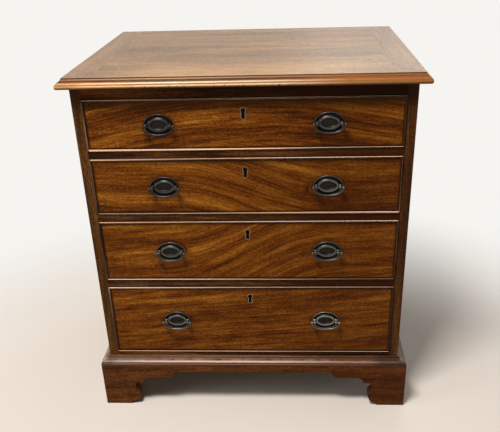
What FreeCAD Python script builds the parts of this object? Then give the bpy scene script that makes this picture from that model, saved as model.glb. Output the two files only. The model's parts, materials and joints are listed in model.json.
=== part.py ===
import FreeCAD, Part
import math
import os

# A chest of four long graduated drawers on bracket feet, in millimetres.
# +Z is up and the drawers open towards -Y. The origin lies on the floor, at the middle
# of the chest's overall width and depth. "Depth" is measured back from the front edges
# of the carcase sides, and "out" is measured outwards from the carcase.

# ---- flats that stand for the curve of small round and oval pieces
ROUND_SIDES = 8
ROD_SIDES = 6
PLATE_SIDES = 14
BAIL_RUNS = 6

# ---- carcase
CARCASE_WIDTH = 700.0
CARCASE_DEPTH = 538.0
SIDE_THICKNESS = 20.0
UNDERSIDE_HEIGHT = 118.5
BOTTOM_THICKNESS = 18.0
BOTTOM_RAIL_HEIGHT = 28.0
BOTTOM_RAIL_DEPTH = 55.0
BLADE_THICKNESS = 17.4
BLADE_DEPTH = 60.0
TOP_RAIL_HEIGHT = 24.5
TOP_RAIL_DEPTH = 50.0
TENON_LENGTH = 8.0
TENON_SHOULDER = 3.0
TENON_SET_BACK = 8.0
BACK_BOARD_THICKNESS = 10.0
BACK_REBATE_WIDTH = 10.0
BACK_BOARD_COUNT = 4
BACK_BOARD_GAP = 0.6

# ---- runners, dustboards and stops
RUNNER_WIDTH = 30.0
KICKER_WIDTH = 26.0
KICKER_HEIGHT = 20.0
DUSTBOARD_THICKNESS = 8.0
DUSTBOARD_TONGUE = 7.0
DUSTBOARD_BACK_GAP = 6.0
STOP_LENGTH = 50.0
STOP_DEPTH = 18.0
STOP_HEIGHT = 4.5
STOP_SPREAD = 240.0

# ---- top and its moulded edge, as overhangs beyond the carcase and drops from the surface
TOP_THICKNESS = 21.4
TOP_NOSE_OVERHANG = 22.6
TOP_BACK_OVERHANG = 6.0
TOP_ARRIS_OVERHANG = 10.4
TOP_QUIRK_DROP = 1.2
TOP_HOLLOW_RUN = 3.2
TOP_HOLLOW_DROP = 3.8
TOP_HOLLOW_SAG = 0.5
TOP_STEP_DROP = 1.2
TOP_SHOULDER_SWELL = 1.0
TOP_NOSE_RADIUS = 5.2
TOP_NOSE_HALF_TURN = 30.0
MITRE_REACH = 5.0
CLAMP_WIDTH = 68.1
CLAMP_TONGUE_LENGTH = 12.0
CLAMP_TONGUE_THICKNESS = 6.0

# ---- base moulding, as outs beyond the carcase and heights above its own underside
PLINTH_OUT = 19.6
MOULD_HEIGHT = 18.0
MOULD_FILLET_HEIGHT = 3.5
MOULD_FILLET_SLOPE = 0.6
MOULD_FILLET_WIDTH = 2.4
MOULD_QUIRK_HEIGHT = 1.6
MOULD_OVOLO_RUN = 8.7
MOULD_OVOLO_RISE = 4.0
MOULD_OVOLO_SWELL = 1.2
MOULD_HOLLOW_RUN = 5.7
MOULD_HOLLOW_RISE = 2.8
MOULD_HOLLOW_SAG = 0.8
MOULD_BEAD_RADIUS = 2.2
MOULD_BEAD_SEAT = 2.2

# ---- bracket feet: runs along the bracket from its corner and heights above the floor
FACING_THICKNESS = 25.0
STRIP_HEIGHT = 19.2
BRACKET_LENGTH = 188.0
PAD_LENGTH = 66.0
PAD_HEIGHT = 6.0
NOSE_RADIUS = 21.5
NOSE_TURN = 130.0
NECK_RUN = 77.8
NECK_HEIGHT = 54.0
SHELF_RUN = 85.5
SHELF_HEIGHT = 67.0
SHELF_END = 100.0
RISER_RUN = 14.0
RISER_HEIGHT = 15.5
RISER_SAG = 3.0
LEDGE_RUN = 54.0
END_SPLAY_RUN = 15.0
BACK_BRACKET_THICKNESS = 20.0
BACK_BRACKET_FLAT = 60.0
BACK_BRACKET_REACH = 150.0
BACK_BRACKET_RISE = 78.0
CORNER_BLOCK_SIZE = 40.0
CORNER_BLOCK_LIFT = 1.5
RUBBED_BLOCK_SIZE = 22.0
RUBBED_BLOCK_START = 72.0
RUBBED_BLOCK_LENGTH = 105.0

# ---- drawers, from the top one down
TOP_DRAWER_HEIGHT = 108.4
SECOND_DRAWER_HEIGHT = 127.6
THIRD_DRAWER_HEIGHT = 147.6
BOTTOM_DRAWER_HEIGHT = 182.4
DOVETAIL_COUNTS = {1: 3, 2: 4, 3: 4, 4: 5}
DRAWER_SIDE_GAP = 0.4
DRAWER_FOOT_GAP = 0.3
DRAWER_HEAD_GAP = 0.9
DRAWER_BACK_GAP = 23.0
FRONT_THICKNESS = 20.0
DRAWER_SIDE_THICKNESS = 9.0
DRAWER_BACK_THICKNESS = 9.0
SIDE_TOP_STEP = 4.0
BACK_TOP_STEP = 7.0
BOTTOM_BOARD_THICKNESS = 6.0
BOTTOM_BOARD_LIFT = 9.0
SIDE_GROOVE_DEPTH = 4.5
FRONT_GROOVE_DEPTH = 6.0
COCKBEAD_THICKNESS = 3.0
COCKBEAD_STAND = 3.0
COCKBEAD_BEVEL = 0.9
COCKBEAD_LET_IN = 9.0
DOVETAIL_LAP = 9.0
DOVETAIL_SLOPE = 1.0 / 7.0
DOVETAIL_PIN_TIP = 3.0
HALF_PIN = 4.0

# ---- locks: heights are drops below the top edge of the drawer's top cockbead
LOCK_PLATE_WIDTH = 60.0
LOCK_PLATE_DROP = 54.0
LOCK_PLATE_THICKNESS = 1.5
LOCK_CASE_WIDTH = 50.0
LOCK_CASE_DROP = 50.0
LOCK_CASE_DEPTH = 10.5
BOLT_WIDTH = 22.0
BOLT_THICKNESS = 5.0
BOLT_LENGTH = 20.0
BOLT_TOP_DROP = 0.3
BOLT_GAP = 0.15
BOLT_INSET = 3.0
BOLT_MORTISE_GAP = 1.5
BOLT_MORTISE_DEPTH = 9.0
KEY_PIN_DROP = 26.0
KEY_PIN_RADIUS = 1.3
KEY_PIN_STAND = 5.0
KEYHOLE_RADIUS = 3.2
KEYHOLE_SLOT_WIDTH = 3.2
KEYHOLE_SLOT_LENGTH = 12.5
ESCUTCHEON_HEAD_RADIUS = 6.2
ESCUTCHEON_WAIST_WIDTH = 7.8
ESCUTCHEON_FOOT_RADIUS = 5.4
ESCUTCHEON_FOOT_DROP = 13.6
ESCUTCHEON_DEPTH = 1.6
ESCUTCHEON_STAND = 0.4

# ---- handles: radii and stands are measured from the drawer's face
HANDLE_SPREAD = 350.0
PLATE_HALF_WIDTH = 31.0
PLATE_HALF_HEIGHT = 23.0
PLATE_THICKNESS = 1.1
PLATE_RIM_WIDTH = 2.4
PLATE_RIM_STAND = 2.2
PLATE_CHANNEL_WIDTH = 3.6
PLATE_DOME_WIDTH = 4.4
PLATE_DOME_STAND = 4.4
PLATE_DISH_SLOPE = 3.4
PLATE_DISH_STAND = 2.2
POST_SPREAD = 50.0
POST_STEM_RADIUS = 4.2
POST_STEM_STAND = 5.0
POST_NECK_RADIUS = 2.5
POST_HEAD_RADIUS = 4.1
POST_HEAD_BAND = 3.4
POST_HEAD_BEVEL = 1.3
POST_CAP_RADIUS = 2.4
POST_SHANK_WIDTH = 4.4
POST_SHANK_END = 4.5
POST_FIT = 0.05
NUT_WIDTH = 10.0
NUT_THICKNESS = 3.0
BAIL_AXIS_STAND = 12.5
BAIL_ROD_RADIUS = 2.1
BAIL_HALF_WIDTH = 32.0
BAIL_DROP = 19.0
BAIL_BALL_RADIUS = 2.9
BAIL_BALL_BAND = 2.8
BAIL_PIN_RADIUS = 1.3
BAIL_PIN_TIP = 22.0

# ---- places worked out from the sizes above
HALF_WIDTH = CARCASE_WIDTH / 2
OVERALL_DEPTH = TOP_NOSE_OVERHANG + CARCASE_DEPTH + TOP_BACK_OVERHANG
FRONT_Y = TOP_NOSE_OVERHANG - OVERALL_DEPTH / 2
OPENING_HALF = HALF_WIDTH - SIDE_THICKNESS
DRAWER_HALF = OPENING_HALF - DRAWER_SIDE_GAP
PLINTH_HALF = HALF_WIDTH + PLINTH_OUT
LOWEST_OPENING = UNDERSIDE_HEIGHT + BOTTOM_RAIL_HEIGHT
RUNNER_BACK = CARCASE_DEPTH - BACK_BOARD_THICKNESS
DRAWER_LENGTH = RUNNER_BACK - DRAWER_BACK_GAP
DRAWER_FRONT_HEIGHTS = {
    1: TOP_DRAWER_HEIGHT, 2: SECOND_DRAWER_HEIGHT, 3: THIRD_DRAWER_HEIGHT, 4: BOTTOM_DRAWER_HEIGHT}
DRAWERS = sorted(DRAWER_FRONT_HEIGHTS)


def opening_floor(number):
    """Height at which a drawer's sides run, counted up from the lowest opening."""
    height = LOWEST_OPENING
    for lower in DRAWERS:
        if lower > number:
            height += opening_height(lower) + BLADE_THICKNESS
    return height


def opening_height(number):
    return DRAWER_FOOT_GAP + DRAWER_FRONT_HEIGHTS[number] + DRAWER_HEAD_GAP


def opening_ceiling(number):
    return opening_floor(number) + opening_height(number)


CARCASE_TOP = opening_ceiling(DRAWERS[0]) + TOP_RAIL_HEIGHT
TOP_SURFACE = CARCASE_TOP + TOP_THICKNESS


# ---- small helpers
RIGHT = FreeCAD.Vector(1, 0, 0)
BACK = FreeCAD.Vector(0, 1, 0)
UP = FreeCAD.Vector(0, 0, 1)


def point(x, depth, z):
    return FreeCAD.Vector(x, FRONT_Y + depth, z)


def block(x0, x1, depth0, depth1, z0, z1):
    """Rectangular solid between two x, two depths and two heights."""
    return Part.makeBox(x1 - x0, depth1 - depth0, z1 - z0, point(x0, depth0, z0))


def path(place, start, steps):
    """Edges from start through steps: a point is a straight run, a pair (middle, end) is an arc."""
    edges = []
    here = start
    for step in steps:
        if isinstance(step[0], tuple):
            middle, end = step
            edges.append(Part.Arc(place(*here), place(*middle), place(*end)).toShape())
        else:
            end = step
            edges.append(Part.LineSegment(place(*here), place(*end)).toShape())
        here = end
    return edges


def prism(edges, direction):
    return Part.Face(Part.Wire(edges)).extrude(direction)


def plan_prism(corners, z0, z1):
    """Upright prism over a closed plan of (x, depth) corners."""
    wire = Part.makePolygon([point(x, depth, z0) for x, depth in corners + corners[:1]])
    return Part.Face(wire).extrude(UP * (z1 - z0))


def mirrored(shape):
    return shape.mirror(FreeCAD.Vector(0, 0, 0), RIGHT)


def ring(centre, radius, across, up, sides):
    """Corners of a regular polygon in the plane of two directions, with a flat facing the first."""
    corners = []
    for index in range(sides):
        angle = 2 * math.pi * (index + 0.5) / sides
        corners.append(centre + across * (radius * math.cos(angle)) + up * (radius * math.sin(angle)))
    return corners


def flat_face(corners):
    return Part.Face(Part.makePolygon(corners + corners[:1]))


def skin(rings):
    """Solid with flat faces from each ring of corners to the next, closed at both ends."""
    faces = [flat_face(rings[0]), flat_face(rings[-1])]
    for near, far in zip(rings, rings[1:]):
        for index in range(len(near)):
            faces.append(flat_face([near[index - 1], near[index], far[index], far[index - 1]]))
    solid = Part.makeSolid(Part.makeShell(faces))
    if solid.Volume < 0:
        solid.reverse()
    return solid


def clear_radius(radius, sides):
    """Radius of a ring whose flats just clear a turning pin of the given radius."""
    return radius / math.cos(math.pi / sides)


def turned_back(x, z, profile):
    """Solid turned about an axis that runs back, from a profile of (radius, depth)."""
    return skin([ring(point(x, depth, z), radius, RIGHT, UP, ROUND_SIDES) for radius, depth in profile])


def turned_across(x, depth, z, profile):
    """Solid turned about an axis that runs across, from a profile of (radius, distance from x)."""
    return skin([ring(point(x + along, depth, z), radius, UP, BACK, ROD_SIDES) for radius, along in profile])


def bar_back(x, z, depth0, depth1, radius):
    """Straight bar whose axis runs back from depth0 to depth1."""
    return turned_back(x, z, [(radius, depth0), (radius, depth1)])


def square_bar_back(x, z, depth0, depth1, width):
    half = width / 2
    return block(x - half, x + half, depth0, depth1, z - half, z + half)


def solids_of(shapes):
    found = []
    for shape in shapes:
        found += shape.Solids
    return found


def save(node, shapes):
    Part.makeCompound(solids_of(shapes)).exportStep("parts/" + node + ".step")


# ---- top
def top_edge_steps():
    """Moulded edge as (out, drop): quirk, hollow, step, swelling shoulder and rounded nose."""
    hollow_end = (TOP_ARRIS_OVERHANG + TOP_HOLLOW_RUN, TOP_QUIRK_DROP + TOP_HOLLOW_DROP)
    hollow_middle = (TOP_ARRIS_OVERHANG + TOP_HOLLOW_RUN / 2 - TOP_HOLLOW_SAG,
                     TOP_QUIRK_DROP + TOP_HOLLOW_DROP / 2 + TOP_HOLLOW_SAG)
    shoulder_start = (hollow_end[0], hollow_end[1] + TOP_STEP_DROP)
    nose_centre = (TOP_NOSE_OVERHANG - TOP_NOSE_RADIUS, TOP_THICKNESS - TOP_NOSE_RADIUS)
    nose_reach = TOP_NOSE_RADIUS * math.cos(math.radians(TOP_NOSE_HALF_TURN))
    nose_rise = TOP_NOSE_RADIUS * math.sin(math.radians(TOP_NOSE_HALF_TURN))
    nose_start = (nose_centre[0] + nose_reach, nose_centre[1] - nose_rise)
    nose_middle = (nose_centre[0] + nose_reach, nose_centre[1] + nose_rise)
    nose_end = (nose_centre[0], TOP_THICKNESS)
    shoulder_middle = ((shoulder_start[0] + nose_start[0]) / 2 + TOP_SHOULDER_SWELL,
                       (shoulder_start[1] + nose_start[1]) / 2 - TOP_SHOULDER_SWELL)
    return [(TOP_ARRIS_OVERHANG, TOP_QUIRK_DROP), (hollow_middle, hollow_end), shoulder_start,
            (shoulder_middle, nose_start), (nose_middle, nose_end)]


def top_section(place, inner):
    """Closed section of the top, from its moulded edge in to a square edge at the out called inner."""
    steps = [(TOP_ARRIS_OVERHANG, 0.0)] + top_edge_steps() + [(inner, TOP_THICKNESS), (inner, 0.0)]
    return path(place, (inner, 0.0), steps)


def clamp_inner():
    """The x of the joint between the main board and the right end clamp."""
    return HALF_WIDTH + TOP_NOSE_OVERHANG - CLAMP_WIDTH


def mitre_line():
    """Ends of the mitre at the right front corner in plan, the first one clear outside the corner."""
    outside = TOP_NOSE_OVERHANG + MITRE_REACH
    return (HALF_WIDTH + outside, -outside), (clamp_inner(), CLAMP_WIDTH - TOP_NOSE_OVERHANG)


def main_board():
    """Board moulded along its front edge and mitred at both front corners."""
    corner, joint = mitre_line()
    back = CARCASE_DEPTH + TOP_BACK_OVERHANG

    def place(out, drop):
        return point(-corner[0], -out, TOP_SURFACE - drop)

    plan = [(-corner[0], corner[1]), corner, joint, (joint[0], back), (-joint[0], back), (-joint[0], joint[1])]
    board = prism(top_section(place, -back), RIGHT * (2 * corner[0]))
    return board.common(plan_prism(plan, CARCASE_TOP, TOP_SURFACE))


def right_clamp():
    """Cross-grain end of the top, moulded along its outer edge and mitred at the front corner."""
    corner, joint = mitre_line()
    back = CARCASE_DEPTH + TOP_BACK_OVERHANG

    def place(out, drop):
        return point(HALF_WIDTH + out, corner[1], TOP_SURFACE - drop)

    plan = [corner, (corner[0], back), (joint[0], back), joint]
    clamp = prism(top_section(place, joint[0] - HALF_WIDTH), BACK * (back - corner[1]))
    return clamp.common(plan_prism(plan, CARCASE_TOP, TOP_SURFACE))


def clamp_tongue():
    """Tongue on the main board's end that the clamp is grooved for."""
    middle = TOP_SURFACE - TOP_THICKNESS / 2
    return block(clamp_inner(), clamp_inner() + CLAMP_TONGUE_LENGTH, CLAMP_WIDTH,
                 CARCASE_DEPTH + TOP_BACK_OVERHANG,
                 middle - CLAMP_TONGUE_THICKNESS / 2, middle + CLAMP_TONGUE_THICKNESS / 2)


def make_top():
    tongue = clamp_tongue()
    clamp = right_clamp().cut(tongue)
    board = main_board().fuse([tongue, mirrored(tongue)])
    save("top_board", [board.removeSplitter()])
    save("top_end_clamps", [mirrored(clamp), clamp])


# ---- carcase
def blade_floors():
    """Undersides of the blades, each the ceiling of the drawer below it."""
    return [opening_ceiling(number) for number in DRAWERS[1:]]


def tenon_pair(depth, z0, z1):
    """Stub tenons of a rail that is let into both sides, set back from the front edge."""
    tenon = block(OPENING_HALF, OPENING_HALF + TENON_LENGTH, TENON_SET_BACK, depth,
                  z0 + TENON_SHOULDER, z1 - TENON_SHOULDER)
    return [mirrored(tenon), tenon]


def bottom_housing():
    """The end of the carcase bottom that is housed in the right side."""
    return block(OPENING_HALF, OPENING_HALF + TENON_LENGTH, BOTTOM_RAIL_DEPTH, RUNNER_BACK,
                 UNDERSIDE_HEIGHT, UNDERSIDE_HEIGHT + BOTTOM_THICKNESS)


def back_rail_tenons():
    """Tenons of the back top rail."""
    tenon = block(OPENING_HALF, OPENING_HALF + TENON_LENGTH, RUNNER_BACK - TOP_RAIL_DEPTH, RUNNER_BACK,
                  CARCASE_TOP - TOP_RAIL_HEIGHT + TENON_SHOULDER, CARCASE_TOP)
    return [mirrored(tenon), tenon]


def side_right():
    board = block(OPENING_HALF, HALF_WIDTH, 0, CARCASE_DEPTH, UNDERSIDE_HEIGHT, CARCASE_TOP)
    rebate = block(OPENING_HALF, OPENING_HALF + BACK_REBATE_WIDTH, RUNNER_BACK, CARCASE_DEPTH,
                   UNDERSIDE_HEIGHT, CARCASE_TOP)
    mortises = [rebate, bottom_housing()]
    for floor in blade_floors():
        mortises += tenon_pair(BLADE_DEPTH, floor, floor + BLADE_THICKNESS)
    mortises += tenon_pair(BOTTOM_RAIL_DEPTH, UNDERSIDE_HEIGHT, LOWEST_OPENING)
    mortises += tenon_pair(TOP_RAIL_DEPTH, CARCASE_TOP - TOP_RAIL_HEIGHT, CARCASE_TOP)
    mortises += back_rail_tenons()
    return board.cut(mortises)


def make_sides():
    right = side_right()
    save("side_left", [mirrored(right)])
    save("side_right", [right])


def make_bottom():
    board = block(-OPENING_HALF, OPENING_HALF, BOTTOM_RAIL_DEPTH, RUNNER_BACK,
                  UNDERSIDE_HEIGHT, UNDERSIDE_HEIGHT + BOTTOM_THICKNESS)
    ends = bottom_housing()
    save("carcase_bottom", [board.fuse([ends, mirrored(ends)]).removeSplitter()])


def make_back():
    left = -OPENING_HALF - BACK_REBATE_WIDTH
    pitch = (-2 * left + BACK_BOARD_GAP) / BACK_BOARD_COUNT
    boards = []
    for index in range(BACK_BOARD_COUNT):
        edge = left + index * pitch
        boards.append(block(edge, edge + pitch - BACK_BOARD_GAP, RUNNER_BACK, CARCASE_DEPTH,
                            UNDERSIDE_HEIGHT, CARCASE_TOP))
    save("back_boards", boards)


def bolt_mortise(number):
    """Slot in the underside of the rail above a drawer, which its lock bolt rises into."""
    bolt_front, bolt_back = bolt_depths()
    ceiling = opening_ceiling(number)
    half = BOLT_WIDTH / 2 + BOLT_MORTISE_GAP
    return block(-half, half, bolt_front - BOLT_MORTISE_GAP, bolt_back + BOLT_MORTISE_GAP,
                 ceiling, ceiling + BOLT_MORTISE_DEPTH)


def make_top_rails():
    floor = CARCASE_TOP - TOP_RAIL_HEIGHT
    front = block(-OPENING_HALF, OPENING_HALF, 0, TOP_RAIL_DEPTH, floor, CARCASE_TOP)
    front = front.fuse(tenon_pair(TOP_RAIL_DEPTH, floor, CARCASE_TOP)).cut(bolt_mortise(DRAWERS[0]))
    back = block(-OPENING_HALF, OPENING_HALF, RUNNER_BACK - TOP_RAIL_DEPTH, RUNNER_BACK, floor, CARCASE_TOP)
    back = back.fuse(back_rail_tenons())
    save("top_rails", [front.removeSplitter(), back.removeSplitter()])


def dustboard(floor):
    """Thin board held in grooves in the blade and both runners, level with the blade's middle."""
    half = OPENING_HALF - RUNNER_WIDTH + DUSTBOARD_TONGUE
    lift = (BLADE_THICKNESS - DUSTBOARD_THICKNESS) / 2
    return block(-half, half, BLADE_DEPTH - DUSTBOARD_TONGUE, RUNNER_BACK - DUSTBOARD_BACK_GAP,
                 floor + lift, floor + lift + DUSTBOARD_THICKNESS)


def make_blades():
    blades = []
    for number, floor in zip(DRAWERS[1:], blade_floors()):
        blade = block(-OPENING_HALF, OPENING_HALF, 0, BLADE_DEPTH, floor, floor + BLADE_THICKNESS)
        blade = blade.fuse(tenon_pair(BLADE_DEPTH, floor, floor + BLADE_THICKNESS))
        blades.append(blade.cut([dustboard(floor), bolt_mortise(number)]).removeSplitter())
    rail = block(-OPENING_HALF, OPENING_HALF, 0, BOTTOM_RAIL_DEPTH, UNDERSIDE_HEIGHT, LOWEST_OPENING)
    rail = rail.fuse(tenon_pair(BOTTOM_RAIL_DEPTH, UNDERSIDE_HEIGHT, LOWEST_OPENING))
    save("drawer_blades", blades + [rail.removeSplitter()])


def make_runners():
    inner = OPENING_HALF - RUNNER_WIDTH
    strips = []
    for floor in blade_floors():
        runner = block(inner, OPENING_HALF, BLADE_DEPTH, RUNNER_BACK, floor, floor + BLADE_THICKNESS)
        strips.append(runner.cut(dustboard(floor)))
    strips.append(block(inner, OPENING_HALF, BOTTOM_RAIL_DEPTH, RUNNER_BACK,
                        UNDERSIDE_HEIGHT + BOTTOM_THICKNESS, LOWEST_OPENING))
    ceiling = opening_ceiling(DRAWERS[0])
    strips.append(block(OPENING_HALF - KICKER_WIDTH, OPENING_HALF, TOP_RAIL_DEPTH,
                        RUNNER_BACK - TOP_RAIL_DEPTH, ceiling, ceiling + KICKER_HEIGHT))
    save("drawer_runners", [mirrored(strip) for strip in strips] + strips)
    save("dustboards", [dustboard(floor) for floor in blade_floors()])


def make_stops():
    stops = []
    for number in DRAWERS:
        floor = opening_floor(number)
        inner = (STOP_SPREAD - STOP_LENGTH) / 2
        stop = block(inner, inner + STOP_LENGTH, FRONT_THICKNESS, FRONT_THICKNESS + STOP_DEPTH,
                     floor, floor + STOP_HEIGHT)
        stops += [mirrored(stop), stop]
    save("drawer_stops", stops)


# ---- base
def base_moulding_steps():
    """Section from the plinth's edge up to the bead, as (out, height above its underside)."""
    quirk_out = PLINTH_OUT - MOULD_FILLET_WIDTH
    fillet_top = MOULD_FILLET_HEIGHT + MOULD_FILLET_SLOPE
    ovolo_foot = (quirk_out, fillet_top + MOULD_QUIRK_HEIGHT)
    ovolo_top = (ovolo_foot[0] - MOULD_OVOLO_RUN, ovolo_foot[1] + MOULD_OVOLO_RISE)
    ovolo_middle = ((ovolo_foot[0] + ovolo_top[0]) / 2 + MOULD_OVOLO_SWELL / 2,
                    (ovolo_foot[1] + ovolo_top[1]) / 2 + MOULD_OVOLO_SWELL)
    hollow_top = (ovolo_top[0] - MOULD_HOLLOW_RUN, ovolo_top[1] + MOULD_HOLLOW_RISE)
    hollow_middle = ((ovolo_top[0] + hollow_top[0]) / 2 - MOULD_HOLLOW_SAG / 2,
                     (ovolo_top[1] + hollow_top[1]) / 2 - MOULD_HOLLOW_SAG)
    bead_foot = MOULD_HEIGHT - 2 * MOULD_BEAD_RADIUS
    bead_middle = (MOULD_BEAD_SEAT + MOULD_BEAD_RADIUS, MOULD_HEIGHT - MOULD_BEAD_RADIUS)
    return [(PLINTH_OUT, MOULD_FILLET_HEIGHT), (quirk_out, fillet_top), ovolo_foot,
            (ovolo_middle, ovolo_top), (hollow_middle, hollow_top), (hollow_top[0], bead_foot),
            (MOULD_BEAD_SEAT, bead_foot), (bead_middle, (MOULD_BEAD_SEAT, MOULD_HEIGHT)), (0.0, MOULD_HEIGHT)]


def make_base_mouldings():
    steps = [(PLINTH_OUT, 0.0)] + base_moulding_steps() + [(0.0, 0.0)]

    def front_section(out, rise):
        return point(-PLINTH_HALF, -out, UNDERSIDE_HEIGHT + rise)

    def side_section(out, rise):
        return point(HALF_WIDTH + out, -PLINTH_OUT, UNDERSIDE_HEIGHT + rise)

    front = prism(path(front_section, (0.0, 0.0), steps), RIGHT * (2 * PLINTH_HALF))
    side = prism(path(side_section, (0.0, 0.0), steps), BACK * (CARCASE_DEPTH + PLINTH_OUT))
    top = UNDERSIDE_HEIGHT + MOULD_HEIGHT
    front_plan = [(-PLINTH_HALF, -PLINTH_OUT), (PLINTH_HALF, -PLINTH_OUT), (HALF_WIDTH, 0.0),
                  (-HALF_WIDTH, 0.0)]
    side_plan = [(PLINTH_HALF, -PLINTH_OUT), (PLINTH_HALF, CARCASE_DEPTH), (HALF_WIDTH, CARCASE_DEPTH),
                 (HALF_WIDTH, 0.0)]
    front = front.common(plan_prism(front_plan, UNDERSIDE_HEIGHT, top))
    side = side.common(plan_prism(side_plan, UNDERSIDE_HEIGHT, top))
    save("base_mouldings", [front, mirrored(side), side])


def bracket_outline(place):
    """Edges of a shaped bracket as (run, height): pad, nose, neck, shelf, riser, ledge and splay."""
    nose_centre = (PAD_LENGTH, PAD_HEIGHT + NOSE_RADIUS)
    nose_angle = math.radians(NOSE_TURN - 90)
    nose_end = (nose_centre[0] + NOSE_RADIUS * math.cos(nose_angle),
                nose_centre[1] + NOSE_RADIUS * math.sin(nose_angle))
    riser_end = (SHELF_END + RISER_RUN, SHELF_HEIGHT + RISER_HEIGHT)
    riser_middle = (SHELF_END + RISER_RUN / 2 - RISER_SAG / 2, SHELF_HEIGHT + RISER_HEIGHT / 2 + RISER_SAG)
    strip_floor = UNDERSIDE_HEIGHT - STRIP_HEIGHT
    ledge_end = (riser_end[0] + LEDGE_RUN, riser_end[1])
    steps = [(PAD_LENGTH, 0.0), (PAD_LENGTH, PAD_HEIGHT),
             ((nose_centre[0] + NOSE_RADIUS, nose_centre[1]), nose_end),
             ((NECK_RUN, NECK_HEIGHT), (SHELF_RUN, SHELF_HEIGHT)), (SHELF_END, SHELF_HEIGHT),
             (riser_middle, riser_end), ledge_end, (ledge_end[0] + END_SPLAY_RUN, strip_floor),
             (BRACKET_LENGTH, strip_floor), (BRACKET_LENGTH, UNDERSIDE_HEIGHT), (0.0, UNDERSIDE_HEIGHT),
             (0.0, 0.0)]
    return path(place, (0.0, 0.0), steps)


def front_bracket():
    """Bracket on the front of the right foot, mitred at the corner."""
    def place(run, height):
        return point(PLINTH_HALF - run, -PLINTH_OUT, height)

    inside = FACING_THICKNESS - PLINTH_OUT
    plan = [(PLINTH_HALF, -PLINTH_OUT), (PLINTH_HALF - BRACKET_LENGTH, -PLINTH_OUT),
            (PLINTH_HALF - BRACKET_LENGTH, inside), (PLINTH_HALF - FACING_THICKNESS, inside)]
    bracket = prism(bracket_outline(place), BACK * FACING_THICKNESS)
    return bracket.common(plan_prism(plan, 0.0, UNDERSIDE_HEIGHT))


def side_bracket():
    """Bracket on the side of the right front foot, mitred at the corner."""
    def place(run, height):
        return point(PLINTH_HALF, run - PLINTH_OUT, height)

    inner = PLINTH_HALF - FACING_THICKNESS
    plan = [(PLINTH_HALF, -PLINTH_OUT), (PLINTH_HALF, BRACKET_LENGTH - PLINTH_OUT),
            (inner, BRACKET_LENGTH - PLINTH_OUT), (inner, FACING_THICKNESS - PLINTH_OUT)]
    bracket = prism(bracket_outline(place), RIGHT * -FACING_THICKNESS)
    return bracket.common(plan_prism(plan, 0.0, UNDERSIDE_HEIGHT))


def rear_side_bracket():
    def place(run, height):
        return point(PLINTH_HALF, CARCASE_DEPTH - run, height)

    return prism(bracket_outline(place), RIGHT * -FACING_THICKNESS)


def back_bracket():
    """Plain sawn bracket across the back of the right rear foot."""
    outer = PLINTH_HALF - FACING_THICKNESS

    def place(run, height):
        return point(outer - run, CARCASE_DEPTH - BACK_BRACKET_THICKNESS, height)

    steps = [(BACK_BRACKET_FLAT, 0.0), (BACK_BRACKET_REACH, BACK_BRACKET_RISE),
             (BACK_BRACKET_REACH, UNDERSIDE_HEIGHT), (0.0, UNDERSIDE_HEIGHT), (0.0, 0.0)]
    return prism(path(place, (0.0, 0.0), steps), BACK * BACK_BRACKET_THICKNESS)


def make_feet():
    front = [front_bracket(), side_bracket()]
    back = [rear_side_bracket(), back_bracket()]
    save("bracket_feet_front", [mirrored(piece) for piece in front] + front)
    save("bracket_feet_back", [mirrored(piece) for piece in back] + back)


def make_plinth_strips():
    floor = UNDERSIDE_HEIGHT - STRIP_HEIGHT
    reach = PLINTH_HALF - BRACKET_LENGTH
    front = block(-reach, reach, -PLINTH_OUT, FACING_THICKNESS - PLINTH_OUT, floor, UNDERSIDE_HEIGHT)
    side = block(PLINTH_HALF - FACING_THICKNESS, PLINTH_HALF, BRACKET_LENGTH - PLINTH_OUT,
                 CARCASE_DEPTH - BRACKET_LENGTH, floor, UNDERSIDE_HEIGHT)
    save("plinth_strips", [front, mirrored(side), side])


def make_glue_blocks():
    outer = PLINTH_HALF - FACING_THICKNESS
    front = FACING_THICKNESS - PLINTH_OUT
    back = CARCASE_DEPTH - BACK_BRACKET_THICKNESS
    size = CORNER_BLOCK_SIZE
    rubbed = RUBBED_BLOCK_SIZE
    start = RUBBED_BLOCK_START
    end = start + RUBBED_BLOCK_LENGTH
    under = UNDERSIDE_HEIGHT - rubbed
    blocks = [
        block(outer - size, outer, front, front + size, CORNER_BLOCK_LIFT, UNDERSIDE_HEIGHT),
        block(outer - size, outer, back - size, back, CORNER_BLOCK_LIFT, UNDERSIDE_HEIGHT),
        block(PLINTH_HALF - end, PLINTH_HALF - start, front, front + rubbed, under, UNDERSIDE_HEIGHT),
        block(outer - rubbed, outer, start - PLINTH_OUT, end - PLINTH_OUT, under, UNDERSIDE_HEIGHT),
        block(outer - rubbed, outer, CARCASE_DEPTH - end, CARCASE_DEPTH - start, under, UNDERSIDE_HEIGHT)]
    save("foot_glue_blocks", [mirrored(piece) for piece in blocks] + blocks)


# ---- drawer joinery
class DrawerSizes:
    """Heights of one drawer's pieces, worked out from its opening."""

    def __init__(self, number):
        self.number = number
        self.floor = opening_floor(number)
        self.front_low = self.floor + DRAWER_FOOT_GAP
        self.front_high = opening_ceiling(number) - DRAWER_HEAD_GAP
        self.board_high = self.front_high - COCKBEAD_THICKNESS
        self.side_high = self.board_high - SIDE_TOP_STEP
        self.bottom_low = self.floor + BOTTOM_BOARD_LIFT
        self.bottom_high = self.bottom_low + BOTTOM_BOARD_THICKNESS
        self.back_high = self.side_high - BACK_TOP_STEP
        self.handle_height = (self.front_low + self.front_high) / 2
        self.key_height = self.front_high - KEY_PIN_DROP
        self.side_inner = DRAWER_HALF - DRAWER_SIDE_THICKNESS


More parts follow.
